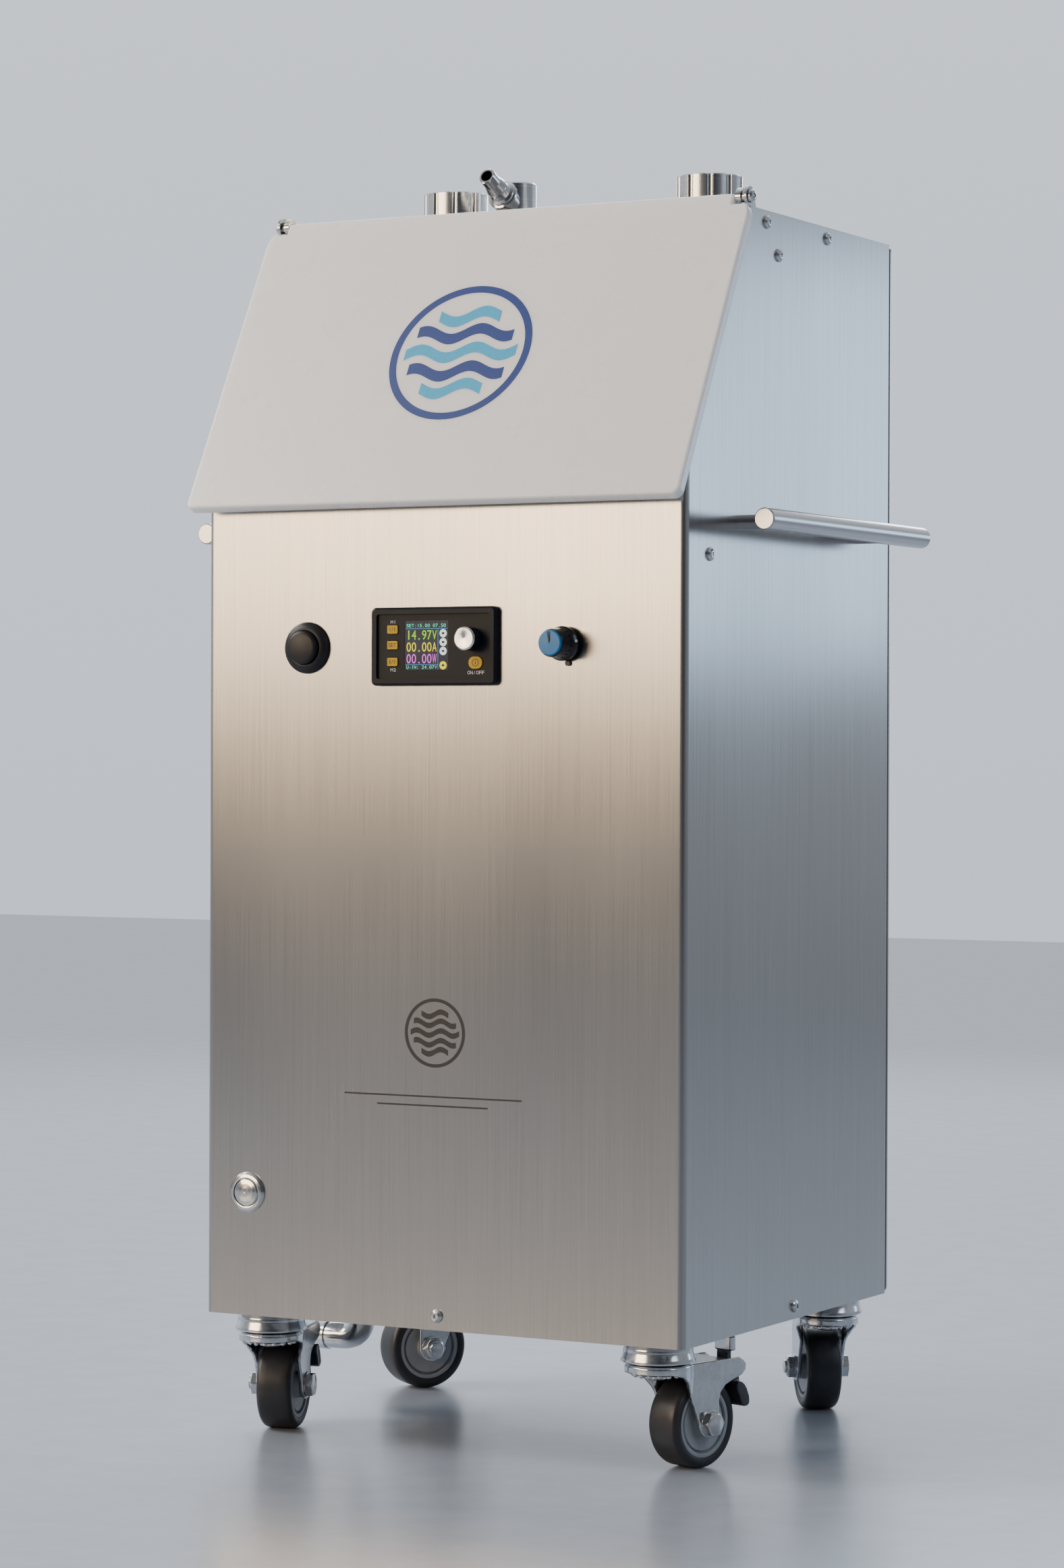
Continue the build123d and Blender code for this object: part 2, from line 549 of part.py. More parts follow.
def cell_plate(y, thick, side=CELL_SIDE, window=0.0):
    """One square plate of the stack, clipped at the corners, between y and y + thick."""
    middle_z = (CELL_Z[0] + CELL_Z[1]) / 2
    plane = Plane(origin=(CELL_X, y, middle_z), x_dir=(1, 0, 0), z_dir=(0, -1, 0))
    face = plane * RectangleRounded(side, side, 8)
    if window:
        face -= plane * RectangleRounded(window, window, 6)
    return extrude(face, -thick)


def tie_points():
    middle_z = (CELL_Z[0] + CELL_Z[1]) / 2
    reach = CELL_SIDE / 2 - 9
    return [(CELL_X + dx * reach, middle_z + dz * reach) for dx in (-1, 0, 1) for dz in (-1, 0, 1)
            if dx or dz]


def drill(piece, radius):
    for x, z in tie_points():
        piece -= rod((x, CELL_Y[0] - 20, z), (0, 1, 0), radius, 200)
    return piece


def cell_parts():
    """End plates, electrodes, gaskets and tie rods of the electrolysis stack."""
    end = 12.0
    pitch = (CELL_Y[1] - CELL_Y[0] - 2 * end) / PLATE_COUNT
    ends = [drill(cell_plate(CELL_Y[0], end), 3.2), drill(cell_plate(CELL_Y[1] - end, end), 3.2)]
    ports = [rod((CELL_X, CELL_Y[0], z), (0, -1, 0), 6, 14) - rod((CELL_X, CELL_Y[0], z), (0, -1, 0), 4, 14)
             for z in (CELL_Z[0] + 26, CELL_Z[1] - 26)]
    ends[0] = ends[0] + ports[0] + ports[1]
    electrodes, gaskets = [], []
    for step in range(PLATE_COUNT):
        y = CELL_Y[0] + end + step * pitch
        gaskets.append(drill(cell_plate(y, pitch - 1.5, CELL_SIDE - 4, 70), 3.2))
        if step < PLATE_COUNT - 1:
            electrodes.append(drill(cell_plate(y + pitch - 1.5, 1.5, CELL_SIDE - 2), 3.2))
        else:
            gaskets.append(drill(cell_plate(y + pitch - 1.5, 1.5, CELL_SIDE - 4, 70), 3.2))
    rods = []
    for x, z in tie_points():
        stud = rod((x, CELL_Y[0] - 8, z), (0, 1, 0), 3.0, CELL_Y[1] - CELL_Y[0] + 16)
        stud += hexagon((x, CELL_Y[0] - 5.2, z), (0, 1, 0), 10, 5.0)
        rods.append(stud + hexagon((x, CELL_Y[1] + 0.2, z), (0, 1, 0), 10, 5.0))
    return ends, electrodes, gaskets, rods


def cell_shelf():
    """Folded bridge over the power supply that carries the stack."""
    top = CELL_Z[0] - 0.5
    shelf = box((-92, 92), (-78, 60), (top - 2, top))
    for a, b in ((-92, -90), (90, 92)):
        shelf += box((a, b), (-60, 60), (2, top))
        foot = (a - 12, a) if a < 0 else (b, b + 12)
        shelf += box(foot, (-60, 60), (2, 4))
    return shelf - rod((*DRAIN, 0), (0, 0, 1), DRAIN_R + 6, 8)


HOSE_R = 6.5


def hose(*points):
    """A round hose along straight runs joined by arcs."""
    radii = []
    for a, b, c in zip(points, points[1:], points[2:]):
        one, two = Vector(*b) - Vector(*a), Vector(*c) - Vector(*b)
        turn = one.get_angle(two)
        radii.append(min(45.0, 0.45 * min(one.length, two.length) / tan(radians(turn / 2))))
    path = FilletPolyline(*points, radius=radii) if radii else Line(*points)
    start = Plane(origin=points[0], z_dir=Vector(*points[1]) - Vector(*points[0]))
    return sweep(start * Circle(HOSE_R), path)


def hoses():
    """Feed and return between the tank and the stack, and the transfer line to the bubbler."""
    low, high = TANK_Z
    feed_z, return_z = CELL_Z[0] + 26, CELL_Z[1] - 26
    y0 = CELL_Y[0] - 14
    feed = hose((CELL_X, y0, feed_z), (CELL_X, y0 - 22, feed_z), (60, y0 - 20, feed_z + 40),
                (104, -46, 240), (104, 10, 300), (104, 18, 345), (104, 18, low))
    back = hose((CELL_X, y0, return_z), (CELL_X, y0 - 22, return_z), (40, y0 - 18, return_z + 45),
                (66, -38, 270), (66, 10, 320), (66, 18, 350), (66, 18, low))
    reach = TANK_X - TANK_R
    transfer = hose((reach, TANK_Y, 560), (8, TANK_Y, 560), (2, TANK_Y + 2, 520), (-2, TANK_Y + 2, 460),
                    (-8, TANK_Y, 420), (-reach, TANK_Y, 420))
    drain = hose((-104, 18, low), (-104, 18, 335), (-112, 0, 250), (-122, -18, 160), (-120, -24, 90),
                 (*DRAIN, 50), (*DRAIN, 14))
    return [feed, back, transfer, drain]


def drain_elbow():
    """Down through the base, round a bend and out to the left, with a hexagon locknut."""
    x, y = DRAIN
    bend = 11.0
    path = FilletPolyline((x, y, 14), (x, y, DRAIN_Z), (x - 26, y, DRAIN_Z), radius=bend)
    start = Plane(origin=(x, y, 14), z_dir=(0, 0, -1))
    elbow = sweep(start * Circle(DRAIN_R), path)
    elbow += ring((x - 26, y, DRAIN_Z), (1, 0, 0), DRAIN_R + 0.9, DRAIN_R - 0.1, 4)
    nut = hexagon((x, y, -6.6), (0, 0, 1), 22.4, 6.6, DRAIN_R + 0.05)
    inner_nut = hexagon((x, y, 2), (0, 0, 1), 22.4, 5, DRAIN_R + 0.05)
    return [elbow, nut, inner_nut]


def drain_plug():
    x = DRAIN[0] - 26
    return hexagon((x, DRAIN[1], DRAIN_Z), (-1, 0, 0), 13, 8)


# ---------------------------------------------------------------- power, fan and inlet
SUPPLY = ((-57.0, 57.0), (-88.0, 126.0), (8.0, 58.0))


def power_supply():
    """Enclosed supply with a slotted cover and a terminal strip, on four spacers."""
    (x0, x1), (y0, y1), (z0, z1) = SUPPLY
    case = box((x0, x1), (y0 + 18, y1), (z0, z1)) + box((x0, x1), (y0, y0 + 18), (z0, z0 + 12))
    for step in range(12):
        y = y0 + 40 + 13 * step
        case -= box((x0 + 15, x1 - 15), (y, y + 5), (z1 - 1.2, z1 + 1))
    strip = box((x0 + 6, x1 - 6), (y0 + 3, y0 + 17), (z0 + 12, z0 + 24))
    for step in range(9):
        x = x0 + 10 + 11.4 * step
        strip -= box((x, x + 8), (y0 + 2, y0 + 12), (z0 + 15, z0 + 25))
    spacers = [rod((x, y, 2), (0, 0, 1), 4, z0 - 2) for x in (x0 + 10, x1 - 10) for y in (y0 + 30, y1 - 15)]
    supply = case + strip
    for spacer in spacers:
        supply += spacer
    return supply


def fan_frame():
    """Square frame with a round duct, four screw bosses and a three-legged motor mount."""
    half, thick = 40.0, 25.0
    rear = REAR_Y - SHEET
    x, z = FAN
    frame = box((x - half, x + half), (rear - thick, rear), (z - half, z + half))
    frame = fillet(frame.edges().filter_by(Axis.Y), 4)
    frame -= rod((x, rear - thick - 1, z), (0, 1, 0), 38, thick + 2)
    mount = rod((x, rear - thick, z), (0, 1, 0), 16, 3)
    for step in range(3):
        arm = Pos(x, rear - thick + 1.5, z) * Rot(0, 120 * step + 15, 0) * Pos(0, 0, 26.5) * Box(4, 3, 25)
        mount += arm
    mount += rod((x, rear - thick, z), (0, 1, 0), 2.0, 17)
    for dx in (-35.75, 35.75):
        for dz in (-35.75, 35.75):
            frame -= rod((x + dx, rear - thick - 1, z + dz), (0, 1, 0), 2.1, thick + 2)
    return frame + mount


def fan_rotor():
    """Hub on the frame's pin, with seven pitched blades."""
    rear = REAR_Y - SHEET
    x, z = FAN
    hub = rod((x, rear - 21, z), (0, 1, 0), 16, 18) - rod((x, rear - 22, z), (0, 1, 0), 2.0 + RUN, 14.4)
    for step in range(7):
        blade = Pos(x, rear - 12, z) * Rot(0, 360 / 7 * step, 0) * Pos(0, 0, 25.5) * Rot(0, 0, 38) * Box(22, 1.4, 22)
        hub += blade & rod((x, rear - 21, z), (0, 1, 0), 36.6, 18)
    return hub


def fan_guard():
    """Wire guard: three rings and a cross on four eyelets, with its screws."""
    x, z = FAN
    y = REAR_Y + 2.2
    guard = None
    for radius in (14, 25, 36):
        wire = Plane(origin=(x, y, z), z_dir=(0, 1, 0)) * Torus(radius, 0.9)
        guard = wire if guard is None else guard + wire
    for turn in (45, 135):
        bar = Pos(x, y + 1.2, z) * Rot(0, turn, 0) * Cylinder(0.9, 92)
        guard += bar
    for dx in (-35.75, 35.75):
        for dz in (-35.75, 35.75):
            guard += rod((x + dx, REAR_Y, z + dz), (0, 1, 0), 3.7, 3.4)
    return guard


def mains_inlet():
    """Appliance inlet: flange, shroud and three flat pins in a deep socket."""
    x, z = INLET
    flange_plane = Plane(origin=(x, REAR_Y, z), x_dir=(-1, 0, 0), z_dir=(0, 1, 0))
    body = extrude(flange_plane * RectangleRounded(31, 24, 3), 2.4)
    body += box((x - 13.5, x + 13.5), (REAR_Y - 24, REAR_Y), (z - 9.7, z + 9.7))
    socket = Plane(origin=(x, REAR_Y - 16, z), x_dir=(-1, 0, 0), z_dir=(0, 1, 0))
    body -= extrude(socket * RectangleRounded(24.2, 16.4, 2.4), 20)
    for dx, dz in ((-7, -1), (0, 3), (7, -1)):
        body += box((x + dx - 1, x + dx + 1), (REAR_Y - 17, REAR_Y - 2), (z + dz - 2, z + dz + 2))
    return body


# ---------------------------------------------------------------- casters
def caster_frame(name):
    """The caster's own frame: X trails, Y is the axle's direction, Z is up."""
    x, y, turn, _ = CASTERS[name]
    return Location((x, y, 0), (0, 0, turn))


def top_race():
    """Pressed cup with the kingpin below it and the threaded stem above it."""
    cup = turned([(0, 0), (17.2, 0), (18.3, -1.0), (19.2, -4.4), (19.0, -5.0), (20.3, -9.4), (20.0, -10.4),
                  (17.4, -11.4), (0, -11.4)])
    stem = rod((0, 0, 0), (0, 0, 1), 5.9, 17)
    kingpin = rod((0, 0, -11.4), (0, 0, -1), 5.0, 8.0) + rod((0, 0, -19.0), (0, 0, -1), 6.6, 1.6)
    return cup + stem + kingpin


def side_plate(outline, across, thick):
    """A plate in the caster's rolling plane: outline in (rolling, height), thick across it."""
    face = make_face(Polyline(*[(r, across, z) for r, z in outline], close=True))
    return extrude(face, thick, dir=(0, 1, 0))


def fork(brake):
    """Pressed fork on its lower race and ball ring; with a brake, its sides run on to the rear."""
    race = turned([(5.0 + RUN, -11.7), (17.2, -11.7), (18.3, -12.6), (18.3, -15.4), (17.2, -16.6),
                   (5.0 + RUN, -16.6)])
    for step in range(16):
        angle = radians(22.5 * step)
        race += Pos(12.6 * cos(angle), 12.6 * sin(angle), -17.0) * Sphere(1.5)
    front_edge = [(19.2, -44), (16.2, -42), (10.4, -28), (1.2, -18.6), (-8, -16.6), (-8, -14.5)]
    plain = [(24, -14.5), (33, -17.5), (35, -24), (35, -44)]
    braked = [(19, -13.4), (53.5, -14), (57, -16.5), (56.3, -20), (53, -22.6), (46.3, -24.4),
              (39.6, -26.7), (35.6, -30.3), (34.4, -35), (35, -44)]
    outline = (braked if brake else plain) + front_edge
    for across in (-FORK_IN - FORK_SHEET, FORK_IN):
        leg = side_plate(outline, across, FORK_SHEET)
        leg += rod((TRAIL, across, AXLE_Z), (0, 1, 0), 8.2, FORK_SHEET)
        leg -= rod((TRAIL, across - 1, AXLE_Z), (0, 1, 0), AXLE_R, FORK_SHEET + 2)
        if brake:
            leg -= rod((*BRAKE_PIN[:1], across - 1, BRAKE_PIN[1]), (0, 1, 0), 2.0, FORK_SHEET + 2)
        race += leg
    crown_end = 43.0 if brake else 24.0
    crown = box((-8, crown_end), (-FORK_IN - 0.5, FORK_IN + 0.5), (-16.4, -14.5))
    return race + (crown - rod((0, 0, -20), (0, 0, 1), 5.0 + RUN, 10))


def brake_lever():
    """Rocker between the fork's sides: a release tab above and a pedal with its pad below."""
    r, z = BRAKE_PIN
    pin = rod((r, -FORK_IN - FORK_SHEET - 0.8, z), (0, 1, 0), 2.0 - RUN, 2 * (FORK_IN + FORK_SHEET + 0.8))
    hub = rod((r, -10.5, z), (0, 1, 0), 3.6, 21.0)
    arm = side_plate([(r - 1.5, z), (r + 5.5, z), (r + 6.0, -28), (r + 1.0, -28)], -9.5, 19.0)
    neck = box((r + 1.6, r + 5.8), (-4.0, 4.0), (z - 2, -9.5))
    tab = box((r + 2.4, r + 7.0), (-6.4, 6.4), (-10.4, -2.4))
    tab = fillet(tab.edges().filter_by(Axis.Z), 1.4)
    outline = [(r + 0.4, -26.2), (r + 3.5, -26.0), (r + 6.6, -27.8), (r + 9.6, -33), (r + 10.6, -38),
               (r + 8.6, -40.2), (r + 4.1, -40.2), (r + 2.4, -34.5), (r - 0.4, -29.8)]
    pedal = side_plate(outline, -13.4, 26.8)
    return pin + hub + arm + neck + tab + pedal


def axle():
    """Bolt head, shank and locknut."""
    head, nut = 13.8, 13.8
    bolt = rod((TRAIL, -head, AXLE_Z), (0, 1, 0), AXLE_R, head + nut + 6.4)
    bolt += hexagon((TRAIL, -head, AXLE_Z), (0, -1, 0), 12.6, 4.6)
    return bolt + hexagon((TRAIL, nut, AXLE_Z), (0, 1, 0), 12.6, 5.0)


def wheel_hub():
    """Moulded hub with a concentric groove in each face."""
    half = WHEEL_W / 2 - 0.6
    profile = [(AXLE_R + RUN, -10.9), (7.4, -10.9), (7.4, -half + 1.6), (15.6, -half + 0.9),
               (15.9, -half + 2.3), (17.1, -half + 2.3), (17.4, -half), (HUB_R, -half)]
    mirrored = [(r, -h) for r, h in reversed(profile)]
    return turned(profile + mirrored, (TRAIL, 0, AXLE_Z), (0, 1, 0))


def wheel_tread():
    """Rubber tyre with a crowned tread and soft shoulders."""
    half = WHEEL_W / 2
    profile = [(HUB_R, -half + 0.4), (21.6, -half), (23.3, -half + 0.5), (24.4, -half + 1.9),
               (24.85, -half + 4.4), (WHEEL_R, 0)]
    mirrored = [(r, -h) for r, h in reversed(profile[:-1])]
    return turned(profile + mirrored, (TRAIL, 0, AXLE_Z), (0, 1, 0))


def casters():
    places = {name: caster_frame(name) for name in CASTERS}
    write("caster_top_races", *[place * top_race() for place in places.values()])
    nuts = [hexagon((x, y, 2), (0, 0, 1), 19, 8, 5.95) for x, y, _, _ in CASTERS.values()]
    write("caster_stem_nuts", *nuts)
    for name, place in places.items():
        brake = CASTERS[name][3]
        write(f"fork_{name}", place * fork(brake), place * axle())
        write(f"wheel_hub_{name}", place * wheel_hub())
        write(f"wheel_tread_{name}", place * wheel_tread())
        if brake:
            write(f"brake_lever_{name}", place * brake_lever())


def main():
    os.makedirs("parts", exist_ok=True)
    write("cabinet_shell", cabinet_shell())
    write("base_plate", base_plate())
    write("top_plate", top_plate())
    write("rear_panel", rear_panel())
    write("panel_screws", *panel_screws())
    write("handles", *handles())
    write("lid_seal", lid_seal())
    write("lid_panel", lid_panel())
    write("lid_hinge_brackets", *hinge_brackets())
    write("lid_pivot_screws", *pivot_screws())
    write("dome_button_body", *dome_button_body())
    write("dome_button", dome_button())
    write("display_bezel", display_bezel())
    write("display_window", display_window())
    write("display_board", display_board())
    for name, z in zip(("upper", "middle", "lower"), KEY_Z):
        write(f"display_key_{name}", key(z))
    write("display_key_on_off", on_off_key())
    write("encoder_knob", encoder_knob())
    write("potentiometer", *potentiometer())
    write("control_knob", pot_knob())
    write("control_knob_cap", pot_knob_cap())
    write("steel_button_body", *steel_button_body())
    write("steel_button", steel_button())
    write("bubbler_tank", tank(-1))
    write("electrolyte_tank", tank(1))
    write("filler_cap_left", filler_cap(-1))
    write("filler_cap_right", filler_cap(1))
    write("gas_outlet_column", gas_outlet())
    write("hose_barb", hose_barb())
    ends, electrodes, gaskets, rods = cell_parts()
    write("cell_end_plates", *ends)
    write("cell_electrodes", *electrodes)
    write("cell_gaskets", *gaskets)
    write("cell_tie_rods", *rods)
    write("cell_shelf", cell_shelf())
    write("hoses", *hoses())
    write("drain_elbow", *drain_elbow())
    write("drain_plug", drain_plug())
    write("power_supply", power_supply())
    write("fan_frame", fan_frame())
    write("fan_rotor", fan_rotor())
    write("fan_guard", fan_guard())
    write("mains_inlet", mains_inlet())
    casters()


if __name__ == "__main__":
    main()
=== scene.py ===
"""Looks of a wheeled electrolysis gas generator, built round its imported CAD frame.

Pieces are laid out in millimetres and scaled to metres when they are made. X is to the right seen
from the front, Y to the rear, Z up, and the floor is at zero.
"""
import json
from math import atan2, cos, pi, radians, sin, sqrt

import bmesh
import bpy
from mathutils import Matrix, Vector


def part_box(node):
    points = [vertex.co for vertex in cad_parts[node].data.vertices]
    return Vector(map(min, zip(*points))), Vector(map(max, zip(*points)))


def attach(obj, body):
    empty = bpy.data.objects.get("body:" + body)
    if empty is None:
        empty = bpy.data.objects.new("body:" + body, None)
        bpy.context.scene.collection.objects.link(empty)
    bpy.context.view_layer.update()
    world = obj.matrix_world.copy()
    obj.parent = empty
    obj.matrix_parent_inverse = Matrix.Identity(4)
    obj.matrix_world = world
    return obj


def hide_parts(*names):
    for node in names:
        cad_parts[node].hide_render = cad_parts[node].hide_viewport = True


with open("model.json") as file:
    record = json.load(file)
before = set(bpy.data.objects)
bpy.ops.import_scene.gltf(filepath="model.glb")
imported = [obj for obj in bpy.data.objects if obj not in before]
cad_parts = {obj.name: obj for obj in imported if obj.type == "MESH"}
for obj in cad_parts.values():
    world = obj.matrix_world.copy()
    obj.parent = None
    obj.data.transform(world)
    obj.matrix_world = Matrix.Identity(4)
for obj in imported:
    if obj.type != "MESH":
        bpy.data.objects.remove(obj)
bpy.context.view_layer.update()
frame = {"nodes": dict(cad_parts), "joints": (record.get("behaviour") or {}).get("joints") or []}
NODES = frame["nodes"]
JOINTS = {joint["name"]: joint for joint in frame["joints"]}
MM = 0.001


# ---------------------------------------------------------------- places, from the frame
def box_mm(node):
    """Lowest and highest corner of a CAD node, in millimetres."""
    low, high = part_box(node)
    return low / MM, high / MM


def middle_of(node):
    low, high = box_mm(node)
    return (low + high) / 2


def joint_mm(name):
    return Vector(JOINTS[name]["pos_m"]) / MM


DOME_OUT = 8.5                            # how far the round button stands out from the front face
FRONT = box_mm("dome_button")[0].y + DOME_OUT
UNDERSIDE = box_mm("cabinet_shell")[0].z
LID_ANGLE = 28.3                          # of the lid, from the vertical
CASTERS = ("front_left", "front_right", "rear_left", "rear_right")
BRAKED = CASTERS[:2]
TRAIL, AXLE_Z, WHEEL_R = 27.0, -46.0, 25.0   # axle from the swivel axis and the underside; wheel radius


# ---------------------------------------------------------------- node materials
class Nodes:
    """A short way to write a material's nodes."""

    def __init__(self, name):
        self.material = bpy.data.materials.new(name)
        self.material.use_nodes = True
        self.tree = self.material.node_tree
        self.shader = self.tree.nodes["Principled BSDF"]
        self.place = self.add("ShaderNodeTexCoord").outputs["Object"]

    def add(self, kind, **settings):
        node = self.tree.nodes.new(kind)
        for key, value in settings.items():
            setattr(node, key, value)
        return node

    def link(self, source, target):
        self.tree.links.new(source, target)

    def set(self, **values):
        for key, value in values.items():
            self.shader.inputs[key.replace("_", " ")].default_value = value

    def stretched(self, per_metre, offset=(0, 0, 0)):
        mapping = self.add("ShaderNodeMapping")
        mapping.inputs["Scale"].default_value = per_metre
        mapping.inputs["Location"].default_value = offset
        self.link(self.place, mapping.inputs["Vector"])
        return mapping.outputs["Vector"]

    def noise(self, per_metre, detail=3.0, offset=(0, 0, 0), roughness=0.6):
        """Noise whose grains are 1 / per_metre long on each axis."""
        texture = self.add("ShaderNodeTexNoise")
        texture.inputs["Scale"].default_value = 1.0
        texture.inputs["Detail"].default_value = detail
        texture.inputs["Roughness"].default_value = roughness
        self.link(self.stretched(per_metre, offset), texture.inputs["Vector"])
        return texture.outputs["Fac"]

    def scaled(self, source, low, high, start=0.3, end=0.7):
        """A number that runs from low to high as the source runs from start to end."""
        node = self.add("ShaderNodeMapRange")
        node.inputs["From Min"].default_value = start
        node.inputs["From Max"].default_value = end
        node.inputs["To Min"].default_value = low
        node.inputs["To Max"].default_value = high
        self.link(source, node.inputs["Value"])
        return node.outputs["Result"]

    def colours(self, source, stops):
        ramp = self.add("ShaderNodeValToRGB")
        ramp.color_ramp.elements.remove(ramp.color_ramp.elements[-1])
        for index, (where, colour) in enumerate(stops):
            element = ramp.color_ramp.elements[0] if index == 0 else ramp.color_ramp.elements.new(where)
            element.position = where
            element.color = (*colour, 1.0)
        self.link(source, ramp.inputs["Fac"])
        return ramp.outputs["Color"]

    def mixed(self, first, second, share=0.5):
        """The average of two numbers, leaning to the second by share."""
        node = self.add("ShaderNodeMix", data_type="FLOAT")
        node.inputs[0].default_value = share
        self.link(first, node.inputs[2])
        self.link(second, node.inputs[3])
        return node.outputs[0]

    def multiplied(self, first, second):
        node = self.add("ShaderNodeMath", operation="MULTIPLY")
        self.link(first, node.inputs[0])
        self.link(second, node.inputs[1])
        return node.outputs[0]

    def bump(self, height, strength, distance_mm):
        node = self.add("ShaderNodeBump")
        node.inputs["Strength"].default_value = strength
        node.inputs["Distance"].default_value = distance_mm * MM
        self.link(height, node.inputs["Height"])
        self.link(node.outputs["Normal"], self.shader.inputs["Normal"])

    def distance_from(self, point, across):
        """Distance in metres from a point in millimetres, along the axes that across has at 1."""
        mapping = self.stretched(across, [-a * c * MM for a, c in zip(across, point)])
        node = self.add("ShaderNodeVectorMath", operation="LENGTH")
        self.link(mapping, node.inputs[0])
        return node.outputs["Value"]


FINE, LONG = 1300.0, 9.0                 # brush marks per metre, across and along the grain


def brushed(name, grain, colour=(0.46, 0.45, 0.44), rough=(0.21, 0.29), around=None):
    """Brushed stainless sheet; grain is the axis that its scratches follow."""
    m = Nodes(name)
    scale = [FINE, FINE, FINE]
    scale["XYZ".index(grain)] = LONG
    coarse = [value / 4 for value in scale]
    fine_marks = m.noise(scale, detail=2.0)
    broad_marks = m.noise(coarse, detail=3.0, offset=(3, 1, 2))
    marks = m.mixed(fine_marks, broad_marks, 0.2)
    cloud = m.noise((6, 6, 3), detail=2.0, offset=(5, 2, 8), roughness=0.4)
    tone = m.mixed(marks, cloud, 0.08)
    dark = tuple(c * 0.90 for c in colour)
    light = tuple(min(1.0, c * 1.08) for c in colour)
    m.link(m.colours(tone, [(0.30, dark), (0.5, colour), (0.70, light)]), m.shader.inputs["Base Color"])
    handled = m.scaled(cloud, *rough, 0.2, 0.8)
    scratched = m.scaled(marks, 0.99, 1.01)
    m.link(m.multiplied(handled, scratched), m.shader.inputs["Roughness"])
    m.set(Metallic=1.0)
    if around:
        across = m.add("ShaderNodeTangent", direction_type="RADIAL", axis=around)
        m.link(across.outputs["Tangent"], m.shader.inputs["Tangent"])
        m.set(Anisotropic=0.6)
    return m.material


def turned_steel(name, axis, centre, rough=(0.17, 0.27)):
    """Steel turned on a lathe: fine rings round an axis through centre, in millimetres."""
    rings_per_metre = 2600.0
    m = Nodes(name)
    across = [1.0, 1.0, 1.0]
    across["XYZ".index(axis)] = 0.0
    radius = m.distance_from(centre, across)
    along = m.add("ShaderNodeSeparateXYZ")
    m.link(m.place, along.inputs["Vector"])
    join = m.add("ShaderNodeCombineXYZ")
    m.link(radius, join.inputs["X"])
    m.link(along.outputs[axis], join.inputs["Y"])
    rings_at = m.add("ShaderNodeVectorMath", operation="SCALE")
    rings_at.inputs["Scale"].default_value = rings_per_metre
    m.link(join.outputs["Vector"], rings_at.inputs[0])
    texture = m.add("ShaderNodeTexNoise")
    texture.inputs["Scale"].default_value = 1.0
    m.link(rings_at.outputs["Vector"], texture.inputs["Vector"])
    marks = texture.outputs["Fac"]
    dark, light = [(0.64 * shade,) * 3 for shade in (0.85, 1.12)]
    m.link(m.colours(marks, [(0.3, dark), (0.7, light)]), m.shader.inputs["Base Color"])
    m.link(m.scaled(marks, *rough), m.shader.inputs["Roughness"])
    m.bump(marks, 0.10, 0.04)
    m.set(Metallic=1.0)
    return m.material


def plated(name, colour=(0.72, 0.74, 0.76), rough=(0.10, 0.24), bump=0.18):
    """Zinc or nickel plate on a pressing: a soft mottle and faint draw marks."""
    m = Nodes(name)
    mottle = m.noise((420, 420, 420), detail=3.0)
    cloud = m.noise((60, 60, 60), detail=4.0, offset=(4, 4, 4))
    tone = m.mixed(mottle, cloud, 0.6)
    dark = tuple(c * 0.74 for c in colour)
    m.link(m.colours(tone, [(0.32, dark), (0.62, colour)]), m.shader.inputs["Base Color"])
    m.link(m.scaled(tone, *rough), m.shader.inputs["Roughness"])
    m.bump(mottle, bump, 0.05)
    m.set(Metallic=1.0)
    return m.material


def moulded(name, colour, rough=(0.38, 0.50), grain=2600.0, bump=0.25, shine=0.5, coat=0.0):
    """Moulded plastic or rubber: fine texture, faint flow marks and uneven gloss."""
    spread = 0.14                         # of the colour, darker and lighter
    m = Nodes(name)
    texture = m.noise((grain, grain, grain), detail=2.0)
    cloud = m.noise((90, 90, 90), detail=4.0, offset=(1, 7, 3))
    dark = tuple(c * (1 - spread) for c in colour)
    light = tuple(min(1.0, c * (1 + spread) + 0.004) for c in colour)
    tone = m.mixed(texture, cloud, 0.6)
    m.link(m.colours(tone, [(0.34, dark), (0.66, light)]), m.shader.inputs["Base Color"])
    m.link(m.scaled(cloud, *rough), m.shader.inputs["Roughness"])
    m.bump(texture, bump, 0.04)
    m.set(Specular_IOR_Level=shine, Coat_Weight=coat)
    return m.material


def opal(name):
    """Opal acrylic: light scatters in it, with a soft gloss and a faint haze of handling."""
    m = Nodes(name)
    haze = m.noise((26, 26, 26), detail=5.0)
    speck = m.noise((900, 900, 900), detail=2.0, offset=(2, 2, 2))
    tone = m.mixed(haze, speck, 0.3)
    m.link(m.colours(tone, [(0.3, (0.925, 0.928, 0.945)), (0.7, (0.940, 0.942, 0.957))]),
           m.shader.inputs["Base Color"])
    m.link(m.scaled(haze, 0.26, 0.30), m.shader.inputs["Roughness"])
    m.bump(haze, 0.02, 0.3)
    m.set(Subsurface_Weight=0.55, Subsurface_Radius=(0.9, 0.95, 1.0), Subsurface_Scale=0.006,
          Coat_Weight=0.25, Coat_Roughness=0.12)
    return m.material


def glowing(name, colour, strength):
    """A lit patch of the screen, a little uneven like the dots that it is made of."""
    m = Nodes(name)
    dots = m.noise((5200, 5200, 5200), detail=1.0)
    dim = tuple(c * 0.78 for c in colour)
    m.link(m.colours(dots, [(0.35, dim), (0.6, colour)]), m.shader.inputs["Emission Color"])
    faint = tuple(c * 0.06 for c in colour)
    m.link(m.colours(dots, [(0.35, (0.01, 0.01, 0.01)), (0.6, faint)]), m.shader.inputs["Base Color"])
    m.set(Emission_Strength=strength, Roughness=0.5, Specular_IOR_Level=0.1)
    return m.material


